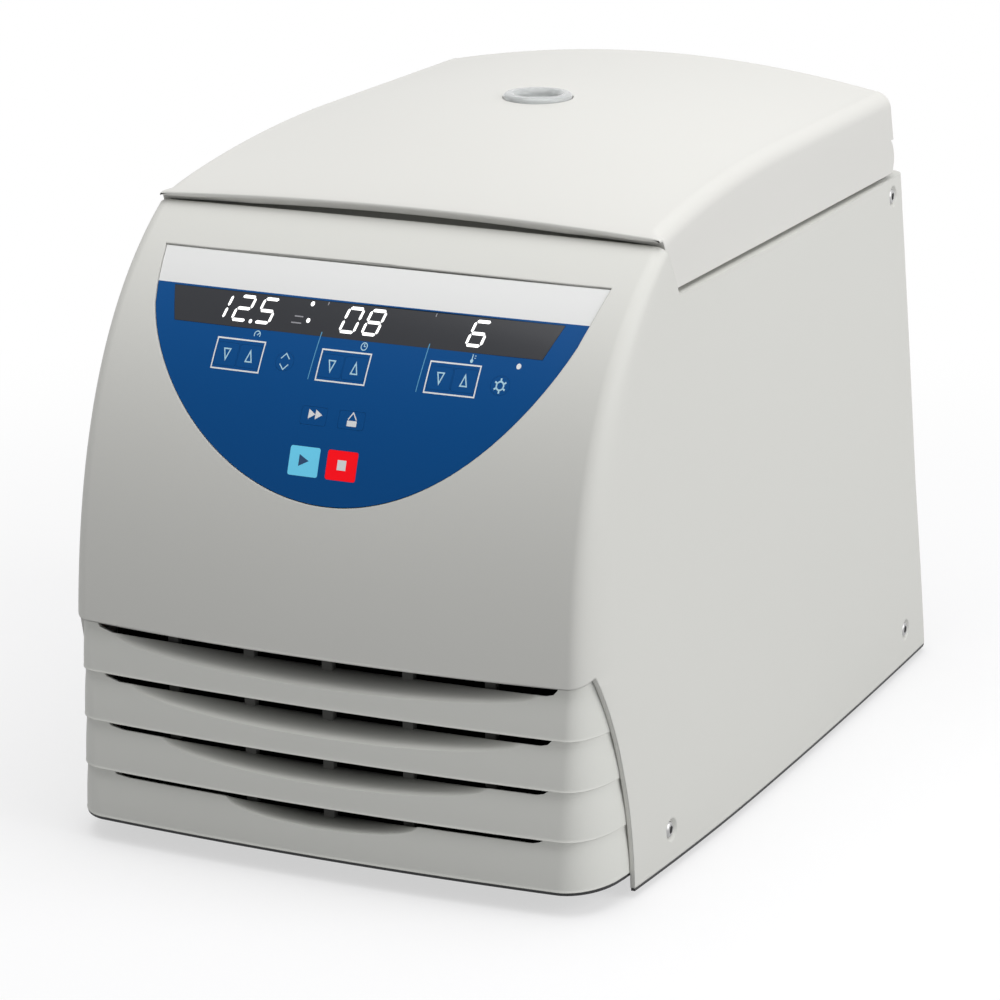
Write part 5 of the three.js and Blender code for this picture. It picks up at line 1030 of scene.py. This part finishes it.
def make_bowl():
    """The drawn bowl: a rounded floor with a shaft hole, a straight wall and a flange with a rolled edge."""
    radius, corner, wall = CHAMBER.radius, CHAMBER.corner, CHAMBER.wall

    def bend(turn):
        angles = [-QUARTER + i / 14 * QUARTER for i in range(15)]
        return [(radius - corner + turn * math.cos(a), BOWL_FLOOR_Z + corner + turn * math.sin(a)) for a in angles]

    hole, outer, under = CHAMBER.shaft_hole, radius + CHAMBER.flange, BOWL_TOP_Z - CHAMBER.flange_thickness
    rim = rounded([(radius, BOWL_TOP_Z - 3), (radius, BOWL_TOP_Z), (outer, BOWL_TOP_Z), (outer, under),
                   (radius + wall, under)], 0.9)
    profile = [(hole, BOWL_FLOOR_Z)] + bend(corner) + rim + bend(corner + wall)[::-1]
    profile += [(hole, BOWL_FLOOR_Z - wall), (hole, BOWL_FLOOR_Z)]
    return turned("bowl", profile, 128, 0, CHAMBER_Y)


def make_gasket():
    inner = CHAMBER.radius + CHAMBER.wall
    outer, low = inner + GASKET.width, BOWL_TOP_Z + SEAT
    profile = rounded([(inner, GASKET.top_z), (inner + GASKET.taper, low + GASKET.taper / 2),
                       ((inner + outer) / 2, low), (outer - GASKET.taper, low + GASKET.taper / 2),
                       (outer, GASKET.top_z)], 1.2)
    return turned("gasket", profile + [profile[0]], 128, 0, CHAMBER_Y)


def make_rotor_lid():
    """A shallow dished cover with a rolled rim and a raised boss under the knob."""
    z, radius, lip = ROTOR_TOP_Z + SEAT, ROTOR.radius, ROTOR.lip
    top, height, hub = z + ROTOR.lid_height - lip, ROTOR.lid_height, ROTOR.hub
    profile = [(0, z), (radius - lip, z), (radius, z + lip / 2), (radius, z + lip), (radius - lip, top),
               (radius - 2 * lip, top), (radius - 2.5 * lip, top - 1), (radius - 4.5 * lip, top - 1),
               (radius - 5 * lip, top), (hub + 3 * lip, top + lip * 0.3), (hub + lip, top + lip * 0.5),
               (hub, z + height), (0, z + height)]
    return turned("rotor lid", rounded(profile, 0.8), 128, 0, CHAMBER_Y)


def make_rotor_knob():
    """A knob with finger flutes round its rim and a shallow dish in its top."""
    z = ROTOR_TOP_Z + ROTOR.lid_height + 2 * SEAT
    radius, top = ROTOR.knob, z + ROTOR.knob_height
    profile = [(0, z), (radius - 1, z), (radius, z + 1), (radius, top - 2.4), (radius - 2.4, top),
               (radius - 6, top), (radius - 9, top - 1.2), (0, top - 1.2)]
    knob = turned("rotor knob", rounded(profile, 1.2), 128, 0, CHAMBER_Y)
    for i in range(ROTOR.flutes):
        angle = i / ROTOR.flutes * 2 * math.pi
        x, y = radius * math.cos(angle), CHAMBER_Y + radius * math.sin(angle)
        cut(knob, rod(ROTOR.flute, (x, y, z - OVERRUN), (x, y, top + OVERRUN), 32))
    return knob


finish_round_part(make_bowl(), "chamber_bowl", "drawn_bowl", 25.0)
finish_round_part(make_gasket(), "lid_gasket", "lid_seal", 50.0)
finish_round_part(make_rotor_lid(), "rotor_lid", "rotor_cover", 25.0)
finish_round_part(make_rotor_knob(), "rotor_knob", "fluted_knob")

# Keypad

PAIR_MIDDLES = dict(speed=-57, time=-2.4, temp=52.4)
PAIR = Form(z=233.1, apart=12.1, w=11.4, h=11.2, frame_half=12.4, frame_low=226.9, frame_high=239.5)
KEYS = {f"key_{label}_{step}": dict(x=middle + shift * PAIR.apart, z=PAIR.z, w=PAIR.w, h=PAIR.h)
        for label, middle in PAIR_MIDDLES.items() for step, shift in (("down", -0.5), ("up", 0.5))}
KEYS.update(key_ramp=dict(x=-32.4, z=232.8, r=4.6), key_precool=dict(x=76.1, z=232.8, r=4.6),
            key_pulse=dict(x=-11.6, z=212, w=13.0, h=8.4), key_open=dict(x=7.6, z=212, w=13.0, h=8.4),
            key_start=dict(x=-12.8, z=192.4, w=15.2, h=13.6), key_stop=dict(x=6.4, z=192.4, w=15.2, h=13.6))
FILM_LIFT = -PANEL.recess + PANEL.bed + PANEL.thickness
KEY_GAP = 0.1
KEY_CORNER = 1.1


def select_upright_edges(piece, height):
    """Selects the edges of a box that run along its own Z."""
    bpy.ops.mesh.select_mode(type="EDGE")
    bpy.ops.mesh.select_all(action="DESELECT")
    mesh = bmesh.from_edit_mesh(piece.data)
    for edge in mesh.edges:
        a, b = edge.verts
        if abs(a.co.z - b.co.z) > height / 2:
            edge.select_set(True)
    bmesh.update_edit_mesh(piece.data)


def key_prism(key, grow, inner, outer):
    """The key's outline stood square to the face at its own middle."""
    point, normal = face_points(key["x"], key["z"], 0.0)
    normal, height = Vector(normal), (outer - inner) * MM
    if "r" in key:
        bpy.ops.mesh.primitive_cylinder_add(vertices=64, radius=(key["r"] + grow) * MM, depth=height)
        piece = bpy.context.object
    else:
        bpy.ops.mesh.primitive_cube_add(size=1.0)
        piece = bpy.context.object
        piece.data.transform(Matrix.Diagonal(((key["w"] + 2 * grow) * MM, (key["h"] + 2 * grow) * MM, height, 1)))
        bpy.ops.object.mode_set(mode="EDIT")
        select_upright_edges(piece, height)
        bpy.ops.mesh.bevel(offset=KEY_CORNER * MM, segments=6, affect="EDGES")
        bpy.ops.mesh.select_mode(type="VERT")
        bpy.ops.object.mode_set(mode="OBJECT")
    right = Vector((0, 0, 1)).cross(normal).normalized()
    up = normal.cross(right)
    turn = Matrix((right, up, normal)).transposed().to_4x4()
    middle = Vector(on_bench(point)) + normal * (inner + outer) / 2 * MM
    piece.data.transform(Matrix.Translation(middle) @ turn)
    return piece


def make_film():
    sheet = face_sheet("film", panel_rows(0, PANEL.top_z), FILM_LIFT, PANEL.thickness, 44)
    for key in KEYS.values():
        cut(sheet, key_prism(key, KEY_GAP, -6, 4))
    cut(sheet, face_sheet("glass", display_rows(0.12), 4, 10, 24))
    return sheet


def display_rows(grow):
    low, high = DISPLAY.bottom_z - grow, DISPLAY.top_z + grow
    return [(mix(low, high, s), mix(DISPLAY.left + DISPLAY.taper, DISPLAY.left, s) - grow,
             mix(DISPLAY.right - DISPLAY.taper, DISPLAY.right, s) + grow) for s in (0, 0.25, 0.5, 0.75, 1)]


def make_display_glass():
    return face_sheet("glass", display_rows(0), FILM_LIFT + 0.02, DISPLAY.thickness, 24)


finish_piece(make_film(), "keypad_film", "housing", film, "blue_overlay", "keypad_overlay", angle=30.0)
finish_piece(make_display_glass(), "display_glass", "housing", display_dark, "dark_display", "display_window",
             angle=30.0)

KEY_FINISH = {"key_start": (cyan_film, "cyan_key"), "key_stop": (red_film, "red_key")}


def make_key(key):
    reach_z = (key["r"] if "r" in key else key["h"] / 2) + 2
    reach_x = (key["r"] if "r" in key else key["w"] / 2) + 2
    rows = [(key["z"] + s * reach_z, key["x"] - reach_x, key["x"] + reach_x) for s in (-1, -0.5, 0, 0.5, 1)]
    slab = face_sheet("key", rows, FILM_LIFT, 3.0, 6)
    cut(slab, key_prism(key, 0, -8, 4), operation="INTERSECT")
    return slab


for key_name, key in KEYS.items():
    finish, slot_name = KEY_FINISH.get(key_name, (key_film, "blue_key"))
    finish_piece(make_key(key), key_name + "_cap", key_name, finish, slot_name, key_name, angle=30.0)


# Printed marks

INK_LIFT = 0.02
INK_DEPTH = 0.03
DIGIT = Form(z=247.2, w=7.2, h=9.4, bar=1.25, lean=0.2, gap=0.28)
NUMBERS = (("1", -77.6), ("2", -65.6), ("5", -53.4), ("0", -9.4), ("8", 2.0), ("6", 54.4))
DISPLAY_DOTS = ((-55.6, 247.2, 0.85, 12), (-27, 256.6, 0.95, 16), (-26.5, 250, 0.95, 16))


def ink_polygon(points):
    """A flat polygon in (x, z), as one face of a circle whose points are moved."""
    bpy.ops.mesh.primitive_circle_add(vertices=len(points), radius=1.0, fill_type="NGON")
    piece = bpy.context.object
    for vertex, (x, z) in zip(piece.data.vertices, points):
        vertex.co = (x, z, 0)
    return piece


def stroke(points, width, closed=False):
    """A line of the given width with mitred corners, split into short lengths."""
    path = [np.array(p, float) for p in points + points[:1] * closed]
    dense = [path[0]]
    for a, b in zip(path, path[1:]):
        count = max(1, int(np.linalg.norm(b - a) / 2.0))
        dense += [a + (b - a) * i / count for i in range(1, count + 1)]
    first = dense[-2] if closed else 2 * dense[0] - dense[1]
    last = dense[1] if closed else 2 * dense[-1] - dense[-2]
    left, right = [], []
    for before, p, after in zip([first] + dense, dense, dense[1:] + [last]):
        d1, d2 = (p - before) / np.linalg.norm(p - before), (after - p) / np.linalg.norm(after - p)
        side = np.array([-(d1 + d2)[1], (d1 + d2)[0]])
        side /= max(np.linalg.norm(side), 1e-9)
        mitre = 1 / max(side @ np.array([-d1[1], d1[0]]), 0.3)
        left.append(p + side * width / 2 * mitre)
        right.append(p - side * width / 2 * mitre)
    bpy.ops.mesh.primitive_grid_add(x_subdivisions=len(dense) - 1, y_subdivisions=1, size=1.0)
    piece = bpy.context.object
    for vertex in piece.data.vertices:
        i = int(round((vertex.co.x + 0.5) * (len(dense) - 1)))
        x, z = (left if vertex.co.y > 0 else right)[i]
        vertex.co = (x, z, 0)
    return piece


def print_marks(name, shapes, material, body="housing", slot="blue_overlay", lift=FILM_LIFT):
    """Lays flat shapes on the face and gives them the thickness of ink."""
    mark = merge(*shapes)
    in_edit_mode(mark, bpy.ops.mesh.quads_convert_to_tris)
    flat = np.array([v.co[:2] for v in mark.data.vertices])
    places = face_points(flat[:, 0], flat[:, 1], np.full(len(flat), lift + INK_LIFT))[0]
    mark.data.vertices.foreach_set("co", on_bench(places).astype(np.float32).ravel())

    def face_the_front():
        mesh = bmesh.from_edit_mesh(mark.data)
        for face in mesh.faces:
            if face.normal.y > 0:
                face.normal_flip()
        bmesh.update_edit_mesh(mark.data)

    in_edit_mode(mark, turn_outwards, face_the_front)
    apply_modifier(mark, "SOLIDIFY", thickness=INK_DEPTH * MM, offset=1.0)
    return finish_piece(mark, name, body, material, slot)


def circle_points(x, z, radius, count=24, start=0.0, end=2 * math.pi):
    whole_turn = end - start == 2 * math.pi
    total = count if whole_turn else count + 1
    return [(x + radius * math.cos(start + (end - start) * i / count),
             z + radius * math.sin(start + (end - start) * i / count)) for i in range(total)]


SEGMENTS = {"0": "abcdef", "1": "bc", "2": "abged", "5": "afgcd", "6": "afgedc", "8": "abcdefg"}


def digit_shapes(digit, x):
    """The lit bars of one seven-bar digit, each a long hexagon."""
    z, w, h, t, gap = DIGIT.z, DIGIT.w, DIGIT.h, DIGIT.bar / 2, DIGIT.gap
    bars = {"a": ((0, h), (w, h)), "b": ((w, h), (w, h / 2)), "c": ((w, h / 2), (w, 0)), "d": ((0, 0), (w, 0)),
            "e": ((0, 0), (0, h / 2)), "f": ((0, h / 2), (0, h)), "g": ((0, h / 2), (w, h / 2))}
    shapes = []
    for letter in SEGMENTS[digit]:
        (x0, z0), (x1, z1) = bars[letter]
        length = math.hypot(x1 - x0, z1 - z0)
        ux, uz = (x1 - x0) / length, (z1 - z0) / length
        a = (x0 + ux * gap, z0 + uz * gap)
        b = (x1 - ux * gap, z1 - uz * gap)
        points = [a, (a[0] + (ux - uz) * t, a[1] + (uz + ux) * t), (b[0] + (-ux - uz) * t, b[1] + (-uz + ux) * t), b,
                  (b[0] + (-ux + uz) * t, b[1] + (-uz - ux) * t), (a[0] + (ux + uz) * t, a[1] + (uz - ux) * t)]
        shapes.append(ink_polygon([(x + px + pz * DIGIT.lean, z + pz) for px, pz in points]))
    return shapes


def display_marks():
    lit = [shape for digit, x in NUMBERS for shape in digit_shapes(digit, x)]
    lit += [ink_polygon(circle_points(*dot)) for dot in DISPLAY_DOTS]
    print_marks("lit_digits", lit, segment_light, slot="dark_display", lift=FILM_LIFT + 0.03)
    faint = [stroke([(-34.0, 251.2), (-29.6, 251.2)], 0.5), stroke([(-34.8, 248.6), (-29.6, 248.6)], 0.5)]
    faint += [stroke([(x, 257.9), (x - 0.15, 256.7)], 0.45) for x in (-19.0, 35.9)]
    print_marks("display_marks", faint, grey_ink, slot="dark_display", lift=FILM_LIFT + 0.03)


def box_outline(x0, x1, z0, z1, width):
    return stroke([(x0, z0), (x1, z0), (x1, z1), (x0, z1)], width, closed=True)


def box_shape(x0, x1, z0, z1):
    return ink_polygon([(x0, z0), (x1, z0), (x1, z1), (x0, z1)])


def triangle(x, z, size, up):
    reach, rise = size * 0.62, (size if up else -size) * 0.85
    return stroke([(x - reach, z - rise), (x + reach, z - rise), (x, z + rise)], 0.55, closed=True)


def pointer(x, z, length, half):
    """A solid triangle that points to the right."""
    return ink_polygon([(x, z - half), (x + length, z), (x, z + half)])


def panel_marks():
    frames = [box_outline(middle - PAIR.frame_half, middle + PAIR.frame_half, PAIR.frame_low,
                          PAIR.frame_high, 0.62) for middle in PAIR_MIDDLES.values()]
    frames.append(ink_polygon(circle_points(82.7, 241, 1.15, 20)))
    print_marks("key_frames", frames, white_ink)
    dividers = [stroke([(x, 246.2), (x - 0.8, 226.7)], 0.42) for x in (-17.8, 37.0)]
    print_marks("panel_dividers", dividers, mid_ink)


def key_marks():
    for name, key in KEYS.items():
        if name.endswith(("_up", "_down")):
            print_marks(name.replace("key", "arrow"), [triangle(key["x"], key["z"], 2.6, name.endswith("_up"))],
                        pale_ink, name, "blue_key")
    x, z = KEYS["key_ramp"]["x"], KEYS["key_ramp"]["z"]
    chevrons = [stroke([(x - 2.2, z + s * 1.1), (x, z + s * 3.3), (x + 2.2, z + s * 1.1)], 0.5) for s in (1, -1)]
    print_marks("ramp_mark", chevrons, pale_ink, "key_ramp", "blue_key")
    x, z = KEYS["key_precool"]["x"], KEYS["key_precool"]["z"] - 0.2
    flake = [stroke([(x + r * math.cos(a), z + r * math.sin(a)) for r in (3.1, 1.5)], 0.75)
             for a in np.arange(6) * math.pi / 3 + math.pi / 6]
    flake.append(stroke(circle_points(x, z, 1.75, 18), 0.65, closed=True))
    print_marks("cooling_mark", flake, pale_ink, "key_precool", "blue_key")
    fast = [pointer(x, 212.7, 3.5, 2.1) for x in (-14.4, -10.9)]
    print_marks("pulse_mark", fast, white_ink, "key_pulse", "blue_key")
    opening = [box_shape(5.6, 10.4, 209.4, 211.8), stroke([(5.9, 212.2), (8.0, 215.2), (10.1, 212.2)], 0.5)]
    print_marks("open_mark", opening, white_ink, "key_open", "blue_key")
    print_marks("start_mark", [pointer(-15.4, 192.7, 5.0, 2.6)], navy_ink, "key_start", "cyan_key")
    print_marks("stop_mark", [box_shape(4.2, 8.6, 190.4, 194.8)], white_ink, "key_stop", "red_key")


def heading_marks():
    """Small plain signs over the key pairs: a dial, a clock face and a thermometer."""
    dial = [stroke(circle_points(-50, 242.2, 1.5, 18, -0.5, math.pi + 0.5), 0.4),
            stroke([(-50, 242.0), (-49.0, 243.0)], 0.4)]
    clock = [stroke(circle_points(5.3, 242.3, 1.5, 20), 0.4, closed=True),
             stroke([(5.3, 243.4), (5.3, 242.3), (6.1, 242.3)], 0.35)]
    glass = [stroke([(59.5, 241.4), (59.5, 243.9)], 0.45), ink_polygon(circle_points(59.5, 241.2, 0.75, 16))]
    glass += [stroke([(60.5, z), (61.2, z)], 0.3) for z in (243.3, 242.4)]
    print_marks("heading_signs", dial + clock + glass, pale_ink)


display_marks()
panel_marks()
key_marks()
heading_marks()


# Screws

def screw_at(y, z, side):
    """A round head with a six-sided socket, sunk in its recess in the side, and a black disc at the floor of its
    socket as painted shade.
    """
    r, s, top = SCREW.radius, SCREW.socket, SCREW.head
    floor = top - SCREW.socket_depth
    profile = rounded([(0, 0.0), (r, 0.0), (r, 0.5), (r - 0.7, 1.3), (s + 0.3, top), (0, top)], 0.35, 3)
    head = turned("screw", profile, 48)
    cut(head, rod(s, (0, 0, floor), (0, 0, top + 1.0), 6))
    # A black disc in the socket's floor: painted shade.
    socket_shade = rod(s - 0.05, (0, 0, floor - 0.1), (0, 0, floor + 0.12), 6)
    x = side * (side_x_at(y, z) - SCREW.sunk)
    turn = Matrix.Rotation(QUARTER * side, 4, "Y") @ Matrix.Rotation(0.6 + y * 0.01, 4, "Z")
    place = Matrix.Translation(Vector(on_bench((x, y, z)))) @ turn @ Matrix.Translation((0, 0, -FEET * MM))
    for piece in (head, socket_shade):
        piece.data.transform(place)
    return head, socket_shade


def add_screws():
    heads, socket_shades = zip(*[screw_at(y, z, side) for y, z in SCREW.places for side in (-1, 1)])
    finish_piece(merge(*heads), "side_screws", "housing", screw_steel, "stainless", angle=40.0)
    finish_piece(merge(*socket_shades), "screw_socket_shade", "housing", black_plastic, "black_plastic")


add_screws()


# Floor and light

FLOOR = Form(size=14.0, roughness=0.9, shade=(0.45, 0.45, 0.46, 1), paper=(0.96, 0.96, 0.975, 1))
FLOOR_GLOW = {"From Min": 0.25, "From Max": 0.9, "To Min": 0.58, "To Max": 1.0}
SOFT_LIGHT = 0.375
LAMPS = (("overhead", (0.1, -0.2, 1.9), (0, 0, 0.2), 1.8, 22),
         ("right side", (2.2, 0.1, 1.0), (0, 0, 0.15), 1.6, 24))


def seen_as_backdrop(tree):
    """1 for what the camera sees, straight or in gloss and glass, and 0 for light on the object."""
    ray = add_node(tree, "LightPath").outputs
    return math_node(tree, "MAXIMUM", ray["Is Camera Ray"],
                     math_node(tree, "MAXIMUM", ray["Is Glossy Ray"], ray["Is Transmission Ray"]))


def mixed_into(tree, output, share, first, second):
    join = add_node(tree, "MixShader", {0: share, 1: first.outputs[0], 2: second.outputs[0]})
    tree.links.new(join.outputs[0], tree.nodes[output].inputs["Surface"])


def make_floor():
    """A pale bench that keeps the object's shadow near it and fades to white further out."""
    bpy.ops.mesh.primitive_plane_add(size=FLOOR.size, location=(0, 0, 0))
    floor = bpy.context.object
    floor.name = "bench_top"
    material, tree, shader = start_material("pale bench")
    camera_ray = add_node(tree, "LightPath").outputs["Is Camera Ray"]
    set_inputs(tree, shader, {"Roughness": FLOOR.roughness,
                              "Base Color": blend_colours(tree, camera_ray, FLOOR.shade, FLOOR.paper)})
    reach = add_node(tree, "VectorMath", {0: place_on_piece(tree)}, operation="LENGTH")
    far = add_node(tree, "MapRange", {"Value": reach.outputs["Value"], **FLOOR_GLOW}, interpolation_type="SMOOTHSTEP")
    share = math_node(tree, "MULTIPLY", seen_as_backdrop(tree), far.outputs["Result"])
    mixed_into(tree, "Material Output", share, shader, add_node(tree, "Emission", {"Color": WHITE, "Strength": 1.0}))
    floor.data.materials.append(material)


def add_lamp(name, place, target, size, power):
    data = bpy.data.lights.new(name, "AREA")
    data.shape = "RECTANGLE"
    data.size = data.size_y = size
    data.energy = power
    lamp = bpy.data.objects.new(name, data)
    bpy.context.scene.collection.objects.link(lamp)
    lamp.location = place
    lamp.rotation_euler = (Vector(place) - Vector(target)).to_track_quat("Z", "Y").to_euler()


def light_the_scene():
    bpy.context.scene.view_settings.view_transform = "Standard"
    world = bpy.data.worlds.new("studio")
    bpy.context.scene.world = world
    world.use_nodes = True
    tree = world.node_tree
    soft = tree.nodes["Background"]
    set_inputs(tree, soft, {"Color": WHITE, "Strength": SOFT_LIGHT})
    mixed_into(tree, "World Output", seen_as_backdrop(tree), soft,
               add_node(tree, "Background", {"Color": WHITE, "Strength": 1.0}))
    for lamp in LAMPS:
        add_lamp(*lamp)


make_floor()
light_the_scene()
